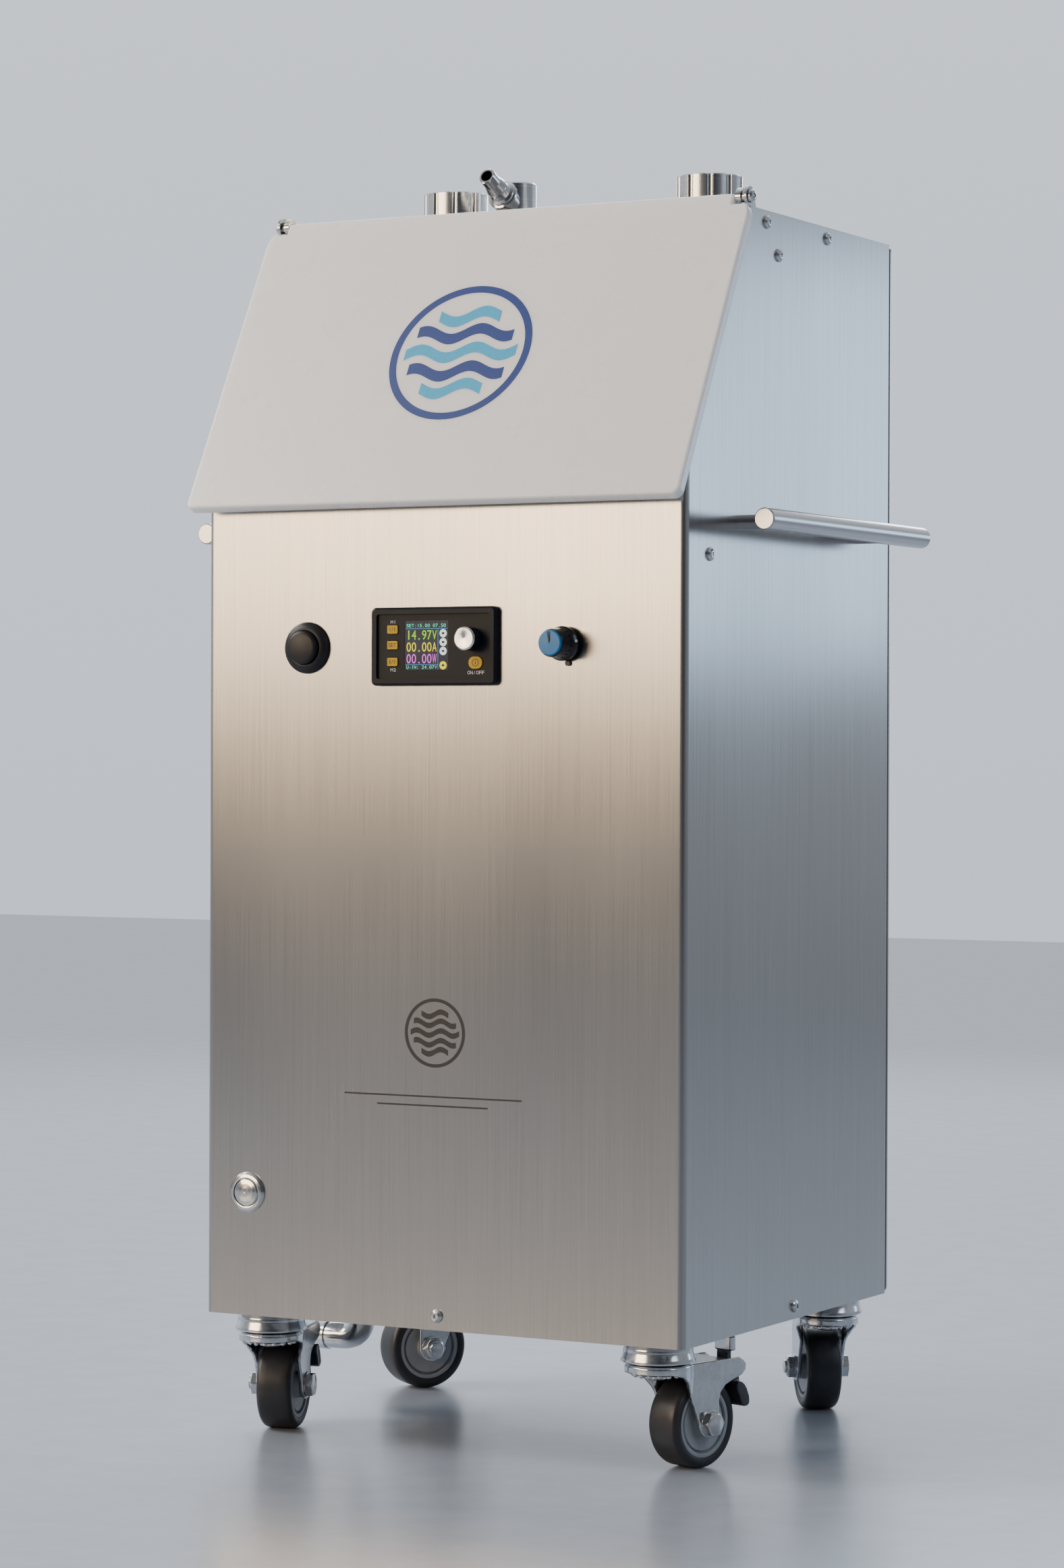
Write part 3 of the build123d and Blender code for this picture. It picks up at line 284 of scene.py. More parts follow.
def lit_glass(name):
    """A dark screen with its backlight on: a faint uneven glow under glass."""
    m = Nodes(name)
    cloud = m.noise((60, 60, 60), detail=2.0)
    m.link(m.colours(cloud, [(0.3, (0.020, 0.022, 0.030)), (0.7, (0.032, 0.034, 0.046))]),
           m.shader.inputs["Base Color"])
    m.link(m.colours(cloud, [(0.3, (0.030, 0.034, 0.046)), (0.7, (0.042, 0.046, 0.060))]),
           m.shader.inputs["Emission Color"])
    m.link(m.scaled(cloud, 0.16, 0.26), m.shader.inputs["Roughness"])
    m.set(Emission_Strength=0.5, Specular_IOR_Level=0.1)
    return m.material


def turned_face(name, centre):
    """Aluminium faced on a lathe: rings too fine to see, which draw the light into a bright fan."""
    m = Nodes(name)
    radius = m.distance_from(centre, (1, 0, 1))
    join = m.add("ShaderNodeCombineXYZ")
    m.link(radius, join.inputs["X"])
    rings = m.add("ShaderNodeTexNoise")
    rings.inputs["Scale"].default_value = 5200.0
    m.link(join.outputs["Vector"], rings.inputs["Vector"])
    marks = rings.outputs["Fac"]
    m.link(m.colours(marks, [(0.3, (0.70, 0.71, 0.73)), (0.7, (0.84, 0.85, 0.86))]),
           m.shader.inputs["Base Color"])
    m.link(m.scaled(marks, 0.20, 0.30), m.shader.inputs["Roughness"])
    m.bump(marks, 0.12, 0.02)
    around = m.add("ShaderNodeTangent", direction_type="RADIAL", axis="Y")
    m.link(around.outputs["Tangent"], m.shader.inputs["Tangent"])
    m.set(Metallic=1.0, Anisotropic=0.9)
    return m.material


def printed(name, colour, rough=0.45):
    """Screen-printed ink with slightly uneven cover."""
    m = Nodes(name)
    cover = m.noise((1500, 1500, 1500), detail=3.0)
    thin = tuple(min(1.0, c * 1.25 + 0.01) for c in colour)
    m.link(m.colours(cover, [(0.40, colour), (0.75, thin)]), m.shader.inputs["Base Color"])
    m.link(m.scaled(cover, rough - 0.05, rough + 0.08), m.shader.inputs["Roughness"])
    m.bump(cover, 0.1, 0.02)
    return m.material


# ---------------------------------------------------------------- mesh work
class Shape:
    """Vertices and faces of one piece, in millimetres in the row frame or under a placing matrix."""

    def __init__(self, place=None):
        self.place = place or Matrix()
        self.verts, self.faces = [], []

    def add(self, verts, faces, place=None):
        matrix = self.place @ place if place else self.place
        first = len(self.verts)
        self.verts += [matrix @ Vector(v) for v in verts]
        self.faces += [[first + i for i in face] for face in faces]

    def lathe(self, profile, place=None, segments=72):
        """A closed (radius, height) outline turned about Z; a radius of 0 makes a pole."""
        verts, rings = [], []
        for radius, height in profile:
            if radius < 1e-6:
                rings.append([len(verts)] * segments)
                verts.append((0, 0, height))
            else:
                rings.append(list(range(len(verts), len(verts) + segments)))
                verts += [(radius * cos(2 * pi * k / segments), radius * sin(2 * pi * k / segments), height)
                          for k in range(segments)]
        closed = profile[0][0] > 1e-6
        pairs = list(zip(rings, rings[1:] + rings[:1])) if closed else list(zip(rings, rings[1:]))
        faces = []
        for a, b in pairs:
            for k in range(segments):
                n = (k + 1) % segments
                face = []
                for corner in (a[k], a[n], b[n], b[k]):
                    if corner not in face:
                        face.append(corner)
                if len(face) > 2:
                    faces.append(face)
        self.add(verts, faces, place)

    def prism(self, outline, low, high, place=None):
        """An outline in X and Y, drawn up from low to high."""
        count = len(outline)
        verts = [(x, y, low) for x, y in outline] + [(x, y, high) for x, y in outline]
        sides = [(k, (k + 1) % count, count + (k + 1) % count, count + k) for k in range(count)]
        self.add(verts, [list(range(count))[::-1], list(range(count, 2 * count))] + sides, place)

    def slab(self, outer, inner):
        """A closed sheet between two grids of points of the same size."""
        rows, columns = len(outer), len(outer[0])
        verts = [point for grid in (outer, inner) for row in grid for point in row]

        def at(layer, row, column):
            return (layer * rows + row) * columns + column

        faces = [[at(layer, r, c), at(layer, r, c + 1), at(layer, r + 1, c + 1), at(layer, r + 1, c)]
                 for layer in (0, 1) for r in range(rows - 1) for c in range(columns - 1)]
        rim = [(0, c) for c in range(columns)] + [(r, columns - 1) for r in range(1, rows)]
        rim += [(rows - 1, c) for c in range(columns - 2, -1, -1)] + [(r, 0) for r in range(rows - 2, 0, -1)]
        faces += [[at(0, *a), at(0, *b), at(1, *b), at(1, *a)] for a, b in zip(rim, rim[1:] + rim[:1])]
        self.add(verts, faces)

    def ball(self, centre, radius):
        segments, rings = 16, 8
        profile = [(radius * sin(pi * k / rings), -radius * cos(pi * k / rings)) for k in range(rings + 1)]
        self.lathe([(max(0.0, r) if 0 < k < rings else 0.0, h) for k, (r, h) in enumerate(profile)],
                   Matrix.Translation(centre), segments)

    def make(self, name, body, material, slot, bevel=0.0, sharp=38, pressed=0.0, keep=0.3, stands_for=()):
        """Makes the piece; pressed is the voxel, in millimetres, that melts its solids into one."""
        mesh = bpy.data.meshes.new(name)
        mesh.from_pydata([v * MM for v in self.verts], [], self.faces)
        work = bmesh.new()
        work.from_mesh(mesh)
        bmesh.ops.remove_doubles(work, verts=work.verts, dist=1e-7)
        bmesh.ops.recalc_face_normals(work, faces=work.faces)
        work.to_mesh(mesh)
        work.free()
        piece = bpy.data.objects.new(name, mesh)
        bpy.context.scene.collection.objects.link(piece)
        if pressed:
            melt = piece.modifiers.new("melt", "REMESH")
            melt.mode, melt.voxel_size, melt.use_smooth_shade = "VOXEL", pressed * MM, True
            soften = piece.modifiers.new("soften", "SMOOTH")
            soften.factor, soften.iterations = 0.5, 6
            thin = piece.modifiers.new("thin", "DECIMATE")
            thin.ratio = keep
        if bevel:
            edge = piece.modifiers.new("edges", "BEVEL")
            edge.width = bevel * MM
            edge.segments = 3
            edge.limit_method = "ANGLE"
            edge.angle_limit = radians(sharp)
        mesh.shade_smooth()
        mesh.set_sharp_from_angle(angle=radians(sharp))
        mesh.materials.append(material)
        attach(piece, body)
        if stands_for:
            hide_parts(*stands_for)


def facing_front(x, z, y=FRONT):
    """Places a lathe or prism on the front: its Z points out, its X to the right, its Y up."""
    return Matrix.Translation((x, y, z)) @ Matrix.Rotation(pi / 2, 4, "X")


def facing_node(node, out=0.0):
    """Places a lathe or prism over the middle of a CAD node, out from its foremost point."""
    low, high = box_mm(node)
    return facing_front((low.x + high.x) / 2, (low.z + high.z) / 2, low.y - out)


def circle(radius, count, centre=(0, 0)):
    """Points spaced evenly round a circle."""
    return [(centre[0] + radius * cos(2 * pi * k / count),
             centre[1] + radius * sin(2 * pi * k / count)) for k in range(count)]


def hexagon(across):
    """A hexagon of this width across its flats."""
    return circle(across / 2 / cos(pi / 6), 6)


def rounded_rectangle(width, height, radius, centre=(0, 0)):
    """The outline of a rectangle whose corners have this radius."""
    steps, points = 6, []
    for corner, (sx, sy) in enumerate(((1, 1), (-1, 1), (-1, -1), (1, -1))):
        for k in range(steps + 1):
            angle = pi / 2 * (corner + k / steps)
            points.append((centre[0] + sx * (width / 2 - radius) + radius * cos(angle),
                           centre[1] + sy * (height / 2 - radius) + radius * sin(angle)))
    return points


def rounded(points, radius):
    """A closed outline with each corner rounded as far as its sides allow."""
    steps, made = 5, []
    for before, corner, after in zip(points[-1:] + points[:-1], points, points[1:] + points[:1]):
        corner = Vector(corner)
        into, out = Vector(before) - corner, Vector(after) - corner
        reach = min(radius, 0.45 * into.length, 0.45 * out.length)
        start, end = corner + into.normalized() * reach, corner + out.normalized() * reach
        for k in range(steps + 1):
            t = k / steps
            made.append(tuple(start.lerp(corner, t).lerp(corner.lerp(end, t), t)))
    return made


# ---------------------------------------------------------------- materials
PLAIN = {
    "panel": brushed("brushed_panel", "Z", around="Z"),
    "flat": brushed("brushed_flat", "X"),
    "bar": brushed("brushed_bar", "Y", colour=(0.52, 0.52, 0.53), rough=(0.20, 0.29)),
    "bright": plated("bright_steel", colour=(0.70, 0.70, 0.71), rough=(0.12, 0.22)),
    "zinc": plated("zinc_plate"),
    "opal": opal("opal_acrylic"),
    "rubber": moulded("black_rubber", (0.010, 0.011, 0.015), rough=(0.34, 0.46), bump=0.12, shine=0.3),
    "tyre": moulded("tyre_rubber", (0.022, 0.023, 0.028), rough=(0.34, 0.48), grain=1400, bump=0.3),
    "hub": moulded("hub_plastic", (0.36, 0.38, 0.41), rough=(0.32, 0.42)),
    "black": moulded("black_plastic", (0.010, 0.012, 0.018), rough=(0.32, 0.42), bump=0.2, shine=0.14),
    "gloss_black": moulded("gloss_black", (0.012, 0.013, 0.018), rough=(0.16, 0.24), bump=0.05, shine=0.3,
                           coat=0.2),
    "yellow": moulded("key_yellow", (0.55, 0.33, 0.012), rough=(0.40, 0.50), bump=0.15, shine=0.2),
    "blue": moulded("cap_blue", (0.006, 0.17, 0.42), rough=(0.36, 0.46), bump=0.2),
    "board": moulded("circuit_board", (0.015, 0.12, 0.06), rough=(0.3, 0.4), grain=900, bump=0.5),
    "polymer": moulded("cell_end_polymer", (0.80, 0.80, 0.76), rough=(0.35, 0.5)),
    "silicone": moulded("hose_silicone", (0.62, 0.65, 0.68), rough=(0.30, 0.42), coat=0.2),
    "case": plated("supply_case", colour=(0.68, 0.69, 0.70), rough=(0.28, 0.40), bump=0.1),
    "lever": moulded("lever_plate", (0.030, 0.032, 0.040), rough=(0.22, 0.32), bump=0.1, coat=0.3),
    "dark_steel": plated("dark_steel", colour=(0.10, 0.10, 0.11), rough=(0.25, 0.4)),
    "diamond_turned": turned_face("diamond_turned", middle_of("encoder_knob")),
    "screen": lit_glass("screen_glass"),
    "ink": printed("black_ink", (0.012, 0.012, 0.014)),
    "pale_ink": printed("pale_ink", (0.55, 0.57, 0.60)),
    "deep_blue": printed("deep_blue_ink", (0.006, 0.032, 0.20), rough=0.40),
    "pale_blue": printed("pale_blue_ink", (0.03, 0.38, 0.66), rough=0.40),
}
WEARS = {
    "panel": ["cabinet_shell", "rear_panel"],
    "flat": ["top_plate", "base_plate", "cell_shelf"],
    "bar": ["handles"],
    "bright": ["panel_screws", "lid_pivot_screws", "lid_hinge_brackets", "cell_tie_rods", "fan_guard",
               "caster_stem_nuts", "bubbler_tank", "electrolyte_tank", "cell_electrodes"],
    "zinc": ["caster_top_races", "drain_elbow", "drain_plug"] + ["fork_" + name for name in CASTERS],
    "opal": ["lid_panel"],
    "rubber": ["dome_button", "dome_button_body", "lid_seal", "cell_gaskets"],
    "tyre": ["wheel_tread_" + name for name in CASTERS],
    "hub": ["wheel_hub_" + name for name in CASTERS],
    "black": ["display_bezel", "fan_frame", "fan_rotor", "mains_inlet"],
    "gloss_black": ["control_knob", "encoder_knob", "potentiometer"],
    "screen": ["display_window"],
    "yellow": ["display_key_upper", "display_key_middle", "display_key_lower", "display_key_on_off"],
    "blue": ["control_knob_cap"],
    "board": ["display_board"],
    "polymer": ["cell_end_plates"],
    "silicone": ["hoses"],
    "case": ["power_supply"],
    "lever": ["brake_lever_" + name for name in BRAKED],
}


def dress(node, material):
    """Gives a CAD node this one material."""
    NODES[node].data.materials.clear()
    NODES[node].data.materials.append(material)


OUTLET_R = 12.0                           # of the gas outlet column


def dress_all():
    """Gives every CAD node its material; lathe marks run round each turned part's own axis."""
    for kind, names in WEARS.items():
        for node in names:
            dress(node, PLAIN[kind])
    for node in ("filler_cap_left", "filler_cap_right"):
        dress(node, turned_steel("turned_" + node, "Z", middle_of(node)))
    outlet = middle_of("gas_outlet_column")
    outlet.y = box_mm("gas_outlet_column")[1].y - OUTLET_R
    dress("gas_outlet_column", turned_steel("turned_gas_outlet_column", "Z", outlet))
    dress("hose_barb", plated("barb_steel", colour=(0.70, 0.70, 0.71), rough=(0.10, 0.2)))
    for node in ("steel_button", "steel_button_body"):
        dress(node, turned_steel("turned_" + node, "Y", middle_of(node), rough=(0.13, 0.2)))


# ---------------------------------------------------------------- casters
FORK_OUT, FORK_SHEET = 13.8, 2.2          # outside of the fork's sides from its middle, and its sheet
SKIRT_R, BOSS_R = 18.3, 8.2               # of the crown's skirt, and of the fork's ends round the axle
ROUND_Z, FLAT_Z = -18.0, -38.0            # the sides go from round to flat between these heights
BRAKE_R, BRAKE_Z = 50.0, -18.5            # the brake's pin: distance from the swivel axis, and height
# Edges of the fork's sides, as (height, X) points from the crown down to the axle.
LEG_FRONT = [(-12.6, -8), (-16.4, -8), (-18.6, 1.2), (-22.5, 6.2), (-28, 10.4), (-36, 14.4), (-46, 18.8)]
LEG_REAR = [(-12.6, 24), (-14.5, 26), (-17.5, 33), (-24, 35), (-46, 35.2)]
LEG_REAR_BRAKED = [(-12.6, 52), (-14, 54.5), (-16.5, 57), (-20, 56.3), (-22.6, 53), (-24.4, 46.3),
                   (-26.7, 39.6), (-30.3, 35.6), (-35, 34.4), (-46, 35.2)]


def caster_frame(name):
    """The caster's own frame: X towards its wheel, Y along the axle, Z up from the cabinet's underside."""
    pivot, axle = joint_mm(f"caster_{name}_swivel"), joint_mm(f"wheel_{name}_roll")
    turn = atan2(axle.y - pivot.y, axle.x - pivot.x)
    return Matrix.Translation((pivot.x, pivot.y, UNDERSIDE)) @ Matrix.Rotation(turn, 4, "Z")


def between(points, height):
    """X of an edge at a height, from its (height, X) points, highest first."""
    for (top, x_top), (low, x_low) in zip(points, points[1:]):
        if height >= low:
            return x_top + (x_low - x_top) * (top - height) / (top - low)
    return points[-1][1]


def leg(side, braked):
    """Outer and inner grids of one side of the fork: round under the crown, flat by the axle."""
    rows, columns = 56, 34
    top, bottom = LEG_FRONT[0][0], AXLE_Z - BOSS_R + 0.05
    outer, inner = [], []
    for row in range(rows + 1):
        z = top + (bottom - top) * row / rows
        if z > AXLE_Z:
            front = between(LEG_FRONT, z)
            rear = between(LEG_REAR_BRAKED if braked else LEG_REAR, z)
        else:
            reach = sqrt(BOSS_R ** 2 - (z - AXLE_Z) ** 2)
            front, rear = TRAIL - reach, TRAIL + reach
        fade = min(1.0, max(0.0, (z - FLAT_Z) / (ROUND_Z - FLAT_Z)))
        fade = fade * fade * (3 - 2 * fade)
        line = [front + (rear - front) * column / columns for column in range(columns + 1)]
        bulge = [max(0.0, sqrt(max(0.0, SKIRT_R ** 2 - x * x)) - FORK_OUT) * fade for x in line]
        outer.append([(x, side * (FORK_OUT + b), z) for x, b in zip(line, bulge)])
        inner.append([(x, side * (FORK_OUT + b - FORK_SHEET), z) for x, b in zip(line, bulge)])
    return outer, inner


def fork(name):
    """The pressed fork, its ball ring and the axle bolt."""
    body, place, braked = "caster_" + name, caster_frame(name), name in BRAKED
    sheet = Shape(place)
    sheet.lathe([(5.8, -11.9), (17.0, -11.9), (SKIRT_R, -12.9), (SKIRT_R, -16.5), (16.2, -16.5),
                 (16.0, -14.1), (5.8, -14.1)], segments=96)
    for side in (-1, 1):
        sheet.slab(*leg(side, braked))
    start, end = -8, 45.5 if braked else 24.5
    bridge = rounded_rectangle(end - start, 2 * FORK_OUT - 0.8, 1.0, ((start + end) / 2, 0))
    sheet.prism(bridge, -15.0, -12.8)
    sheet.make("fork_sheet_" + name, body, PLAIN["zinc"], "zinc_plate", pressed=0.5,
               stands_for=["fork_" + name])
    ring = Shape(place)
    ring.lathe([(9.6, -14.4), (15.2, -14.4), (15.2, -16.9), (14.2, -17.5), (10.6, -17.5), (9.6, -16.9)])
    ring.make("ball_cage_" + name, body, PLAIN["dark_steel"], "zinc_plate", bevel=0.2)
    balls = Shape(place)
    for x, y in circle(13.4, 16):
        balls.ball((x, y, -17.4), 1.6)
    balls.lathe([(0, -20.6), (5.2, -20.6), (6.6, -19.8), (6.6, -18.6), (5.0, -18.0), (5.0, -12.2),
                 (0, -12.2)])
    balls.make("swivel_balls_" + name, body, PLAIN["bright"], "polished_steel")
    along = place @ Matrix.Translation((TRAIL, 0, AXLE_Z)) @ Matrix.Rotation(-pi / 2, 4, "X")
    bolt = Shape(along)
    bolt.lathe([(0, -18.3), (5.2, -18.3), (5.9, -17.9), (5.9, -14.6), (7.3, -14.5), (7.3, -13.7), (0, -13.7)])
    bolt.prism(hexagon(12.2), -18.0, -14.4)
    bolt.prism(hexagon(12.2), 14.6, 18.2)
    bolt.lathe([(0, 13.7), (7.3, 13.7), (7.3, 14.6), (5.9, 14.7), (5.9, 18.2), (4.9, 19.0), (0, 19.0)])
    thread = [(3.8 + 0.22 * (k % 2), 18.9 + 0.22 * k) for k in range(6)]
    bolt.lathe([(0, 18.8)] + thread + [(3.3, 20.2), (0, 20.2)])
    bolt.make("axle_bolt_" + name, body, PLAIN["bright"], "polished_steel", bevel=0.25)


def wheel(name):
    """Tyre with soft shoulders on a moulded hub with a grooved face."""
    body = "wheel_" + name
    place = caster_frame(name) @ Matrix.Translation((TRAIL, 0, AXLE_Z)) @ Matrix.Rotation(-pi / 2, 4, "X")
    half, shoulder = 10.25, 3.3
    steps = [radians(10 * k) for k in range(9)]
    arc = [(21.6 + shoulder * sin(a), half - shoulder + shoulder * cos(a)) for a in steps]
    side = [(19.2, half - 0.6), (20.4, half - 0.12)] + arc + [(24.93, 4.0)]
    tyre = Shape(place)
    tyre.lathe(side + [(WHEEL_R, 0)] + [(r, -h) for r, h in reversed(side)], segments=112)
    tyre.make("tyre_" + name, body, PLAIN["tyre"], "tyre_rubber", sharp=60,
              stands_for=["wheel_tread_" + name])
    half = 9.65
    face = [(4.1, 10.9), (7.4, 10.9), (7.6, 8.2), (11.5, 8.35), (15.2, 8.9), (15.5, 8.5), (15.7, 7.2),
            (16.7, 7.2), (16.9, 9.3), (17.3, half), (19.0, half), (19.3, half - 0.4)]
    hub = Shape(place)
    hub.lathe(face + [(r, -h) for r, h in reversed(face)], segments=112)
    hub.make("hub_" + name, body, PLAIN["hub"], "hub_plastic", bevel=0.18, stands_for=["wheel_hub_" + name])


def brake(name):
    """Rocker of the wheel brake: a plated tab above, a dark pedal below."""
    body, place = "brake_lever_" + name, caster_frame(name)
    tab = Shape(place)
    tab.prism(rounded_rectangle(4.6, 12.8, 1.6, (BRAKE_R + 4.7, 0)), -10.4, -2.4)
    tab.make("brake_tab_" + name, body, PLAIN["zinc"], "zinc_plate", bevel=0.9)
    lever, sideways = Shape(place), Matrix.Rotation(pi / 2, 4, "X")
    lever.prism(rounded_rectangle(4.2, 8.0, 0.8, (BRAKE_R + 3.7, 0)), -24, -9.8)
    arm = [(-1.5, -17.5), (5.5, -17.0), (6.2, -28), (1.0, -28.5)]
    lever.prism([(BRAKE_R + x, z) for x, z in arm], -9.5, 9.5, sideways)
    lever.prism(circle(3.4, 28, (BRAKE_R, BRAKE_Z)), -10.6, 10.6, sideways)
    pedal = [(0.6, -26.4), (3.5, -26.0), (6.6, -27.8), (9.6, -33), (10.6, -37.5), (9.6, -40.0), (4.6, -40.2),
             (2.4, -34.5), (-0.2, -30.0)]
    lever.prism(rounded([(BRAKE_R + x, z) for x, z in pedal], 2.0), -13.2, 13.2, sideways)
    lever.make("brake_pedal_" + name, body, PLAIN["lever"], "black_plastic", pressed=0.5, keep=0.25,
               stands_for=["brake_lever_" + name])


def swivel_cups():
    """The fixed upper race of each caster, spun with two ridges."""
    profile = [(0, -0.1), (17.0, -0.1), (17.9, -0.7), (18.5, -2.6), (19.1, -4.2), (18.9, -4.9), (19.1, -5.4),
               (19.8, -8.2), (20.4, -9.6), (20.3, -10.4), (19.6, -10.8), (17.6, -11.2), (17.2, -11.5),
               (0, -11.5)]
    cups = Shape()
    for name in CASTERS:
        cups.lathe(profile, caster_frame(name), 112)
    cups.make("swivel_cups", "cabinet", PLAIN["zinc"], "zinc_plate", bevel=0.15,
              stands_for=["caster_top_races"])


# ---------------------------------------------------------------- display, knobs and marks
LETTER_OUT = 2.96                         # of print on the display's recessed face, from the front face
PRINT_OUT = 0.03                          # of the middle of print on a key, from the key's face
THIN = 0.02                               # half the thickness of print and of lit figures
SCREEN_LOW, SCREEN_HIGH = box_mm("display_window")
SCREEN_WIDTH, SCREEN_HEIGHT = SCREEN_HIGH.x - SCREEN_LOW.x, SCREEN_HIGH.z - SCREEN_LOW.z
SCREEN = facing_front(SCREEN_LOW.x, SCREEN_HIGH.z, SCREEN_LOW.y - 0.05)   # from its upper left corner


def glyph(letter):
    """Vertices and faces of a letter of the built-in font, with capitals about one unit high."""
    curve = bpy.data.curves.new("glyph", "FONT")
    curve.body, curve.size, curve.extrude, curve.resolution_u = letter, 1.0, THIN, 3
    shown = bpy.data.objects.new("glyph", curve)
    mesh = bpy.data.meshes.new_from_object(shown)
    verts = [tuple(vertex.co) for vertex in mesh.vertices]
    faces = [list(polygon.vertices) for polygon in mesh.polygons]
    bpy.data.objects.remove(shown)
    bpy.data.meshes.remove(mesh)
    bpy.data.curves.remove(curve)
    return verts, faces


CAPITAL = max(y for _, y, _ in glyph("H")[0])


def write(shape, text, left, low, cell, height):
    """Adds text in cells of one width, so that figures stand in columns as on a dot display."""
    fill = 0.84                           # of a letter in its cell
    for index, letter in enumerate(text):
        if letter == " ":
            continue
        verts, faces = glyph(letter)
        start, end = min(x for x, _, _ in verts), max(x for x, _, _ in verts)
        tall = height / CAPITAL
        stretched = letter.isalnum() and letter not in "1I"
        wide = cell * fill / (end - start) if stretched else tall
        middle = left + cell * (index + 0.5) - wide * (start + end) / 2
        shape.add([(middle + wide * x, low + tall * y, z) for x, y, z in verts], faces)


def screen_row(name, text, top, bottom, right, material):
    """A row of the lit screen; its place is in shares of the screen from its upper left corner."""
    left = 0.03
    row = Shape(SCREEN)
    write(row, text, left * SCREEN_WIDTH, -bottom * SCREEN_HEIGHT, (right - left) * SCREEN_WIDTH / len(text),
          (bottom - top) * SCREEN_HEIGHT)
    row.make(name, "cabinet", material, "screen_glass")


def screen_rule(shape, left, right, top, bottom):
    """A thin bar of the lit screen, between shares of its width and height."""
    line = 0.22
    middle = ((left + right) / 2 * SCREEN_WIDTH, -(top + bottom) / 2 * SCREEN_HEIGHT)
    width, height = (right - left) * SCREEN_WIDTH, (bottom - top) * SCREEN_HEIGHT
    shape.prism(rounded_rectangle(width or line, height or line, 0.08, middle), -THIN, THIN)


def screen():
    """What the screen shows: set values, volts, amps, watts, the input, and four icons."""
    aqua = glowing("lit_aqua", (0.10, 0.90, 0.55), 1.3)
    green = glowing("lit_green", (0.36, 0.92, 0.01), 1.3)
    yellow = glowing("lit_yellow", (0.95, 0.84, 0.01), 1.35)
    pink = glowing("lit_pink", (0.90, 0.16, 0.80), 1.4)
    blue = glowing("lit_line", (0.15, 0.45, 0.95), 1.0)
    white = glowing("lit_white", (0.86, 0.95, 0.86), 1.5)
    divide = 0.765                        # between the figures and the icons
    screen_row("screen_set", "SET:15.00 07.50", 0.07, 0.135, 0.95, aqua)
    screen_row("screen_volts", "14.97V", 0.20, 0.385, 0.745, green)
    screen_row("screen_amps", "00.00A", 0.44, 0.625, 0.745, yellow)
    screen_row("screen_watts", "00.00W", 0.675, 0.86, 0.745, pink)
    screen_row("screen_input", "U-IN: 24.07V", 0.905, 0.97, 0.745, aqua)
    rules = Shape(SCREEN)
    screen_rule(rules, 0.02, 0.98, 0.165, 0.165)
    screen_rule(rules, 0.02, divide, 0.885, 0.885)
    screen_rule(rules, divide, divide, 0.17, 0.98)
    rules.make("screen_rules", "cabinet", blue, "screen_glass")
    icons = ((0.262, white), (0.440, white), (0.618, white), (0.905, yellow))
    for index, (down, material) in enumerate(icons):
        centre = (0.885 * SCREEN_WIDTH, -down * SCREEN_HEIGHT)
        icon = Shape(SCREEN)
        icon.prism(circle(2.25, 36, centre), -THIN, THIN)
        icon.make(f"screen_icon_{index}", "cabinet", material, "screen_glass")
        mark = Shape(SCREEN)
        mark.prism(rounded_rectangle(1.7, 1.2, 0.3, centre), THIN, 0.05)
        mark.make(f"screen_icon_mark_{index}", "cabinet", PLAIN["ink"], "screen_glass")


def key_print(key, text, cell, height, arrows=False):
    """Dark print in the middle of a key's face."""
    ink = Shape(facing_node("display_key_" + key, PRINT_OUT))
    count = len(text) + arrows
    write(ink, text, -count * cell / 2, -height / 2, cell, height)
    if arrows:
        x = (count / 2 - 0.5) * cell
        for way in (-1, 1):
            arrow = [(x - 0.5, way * 0.2), (x + 0.5, way * 0.2), (x, way * height / 2)]
            ink.prism(arrow[::way], -THIN, THIN)
    ink.make("key_print_" + key, "display_key_" + key, PLAIN["ink"], "key_yellow")


def labels():
    """Print on the keys and beside them."""
    key_print("upper", "V/", 1.45, 2.3, arrows=True)
    key_print("middle", "SET", 1.6, 2.2)
    key_print("lower", "A/", 1.45, 2.3, arrows=True)
    power = Shape(facing_node("display_key_on_off", PRINT_OUT))
    power.lathe([(1.75, -THIN), (2.15, -THIN), (2.15, THIN), (1.75, THIN)], segments=40)
    power.prism(rounded_rectangle(0.5, 2.1, 0.2), -THIN, THIN)
    power.make("key_print_on_off", "display_key_on_off", PLAIN["ink"], "key_yellow")
    names = Shape(facing_front(0, 0, FRONT - LETTER_OUT))
    below = box_mm("display_key_on_off")[0].z - 3.05
    write(names, "ON/OFF", middle_of("display_key_on_off").x - 5.4, below, 1.8, 1.9)
    upper, lower = box_mm("display_key_upper"), box_mm("display_key_lower")
    write(names, "M1", upper[0].x + 1.6, upper[1].z + 0.9, 1.9, 1.7)
    write(names, "M2", lower[0].x + 1.6, lower[0].z - 2.95, 1.9, 1.7)
    names.make("display_labels", "cabinet", PLAIN["pale_ink"], "black_plastic")


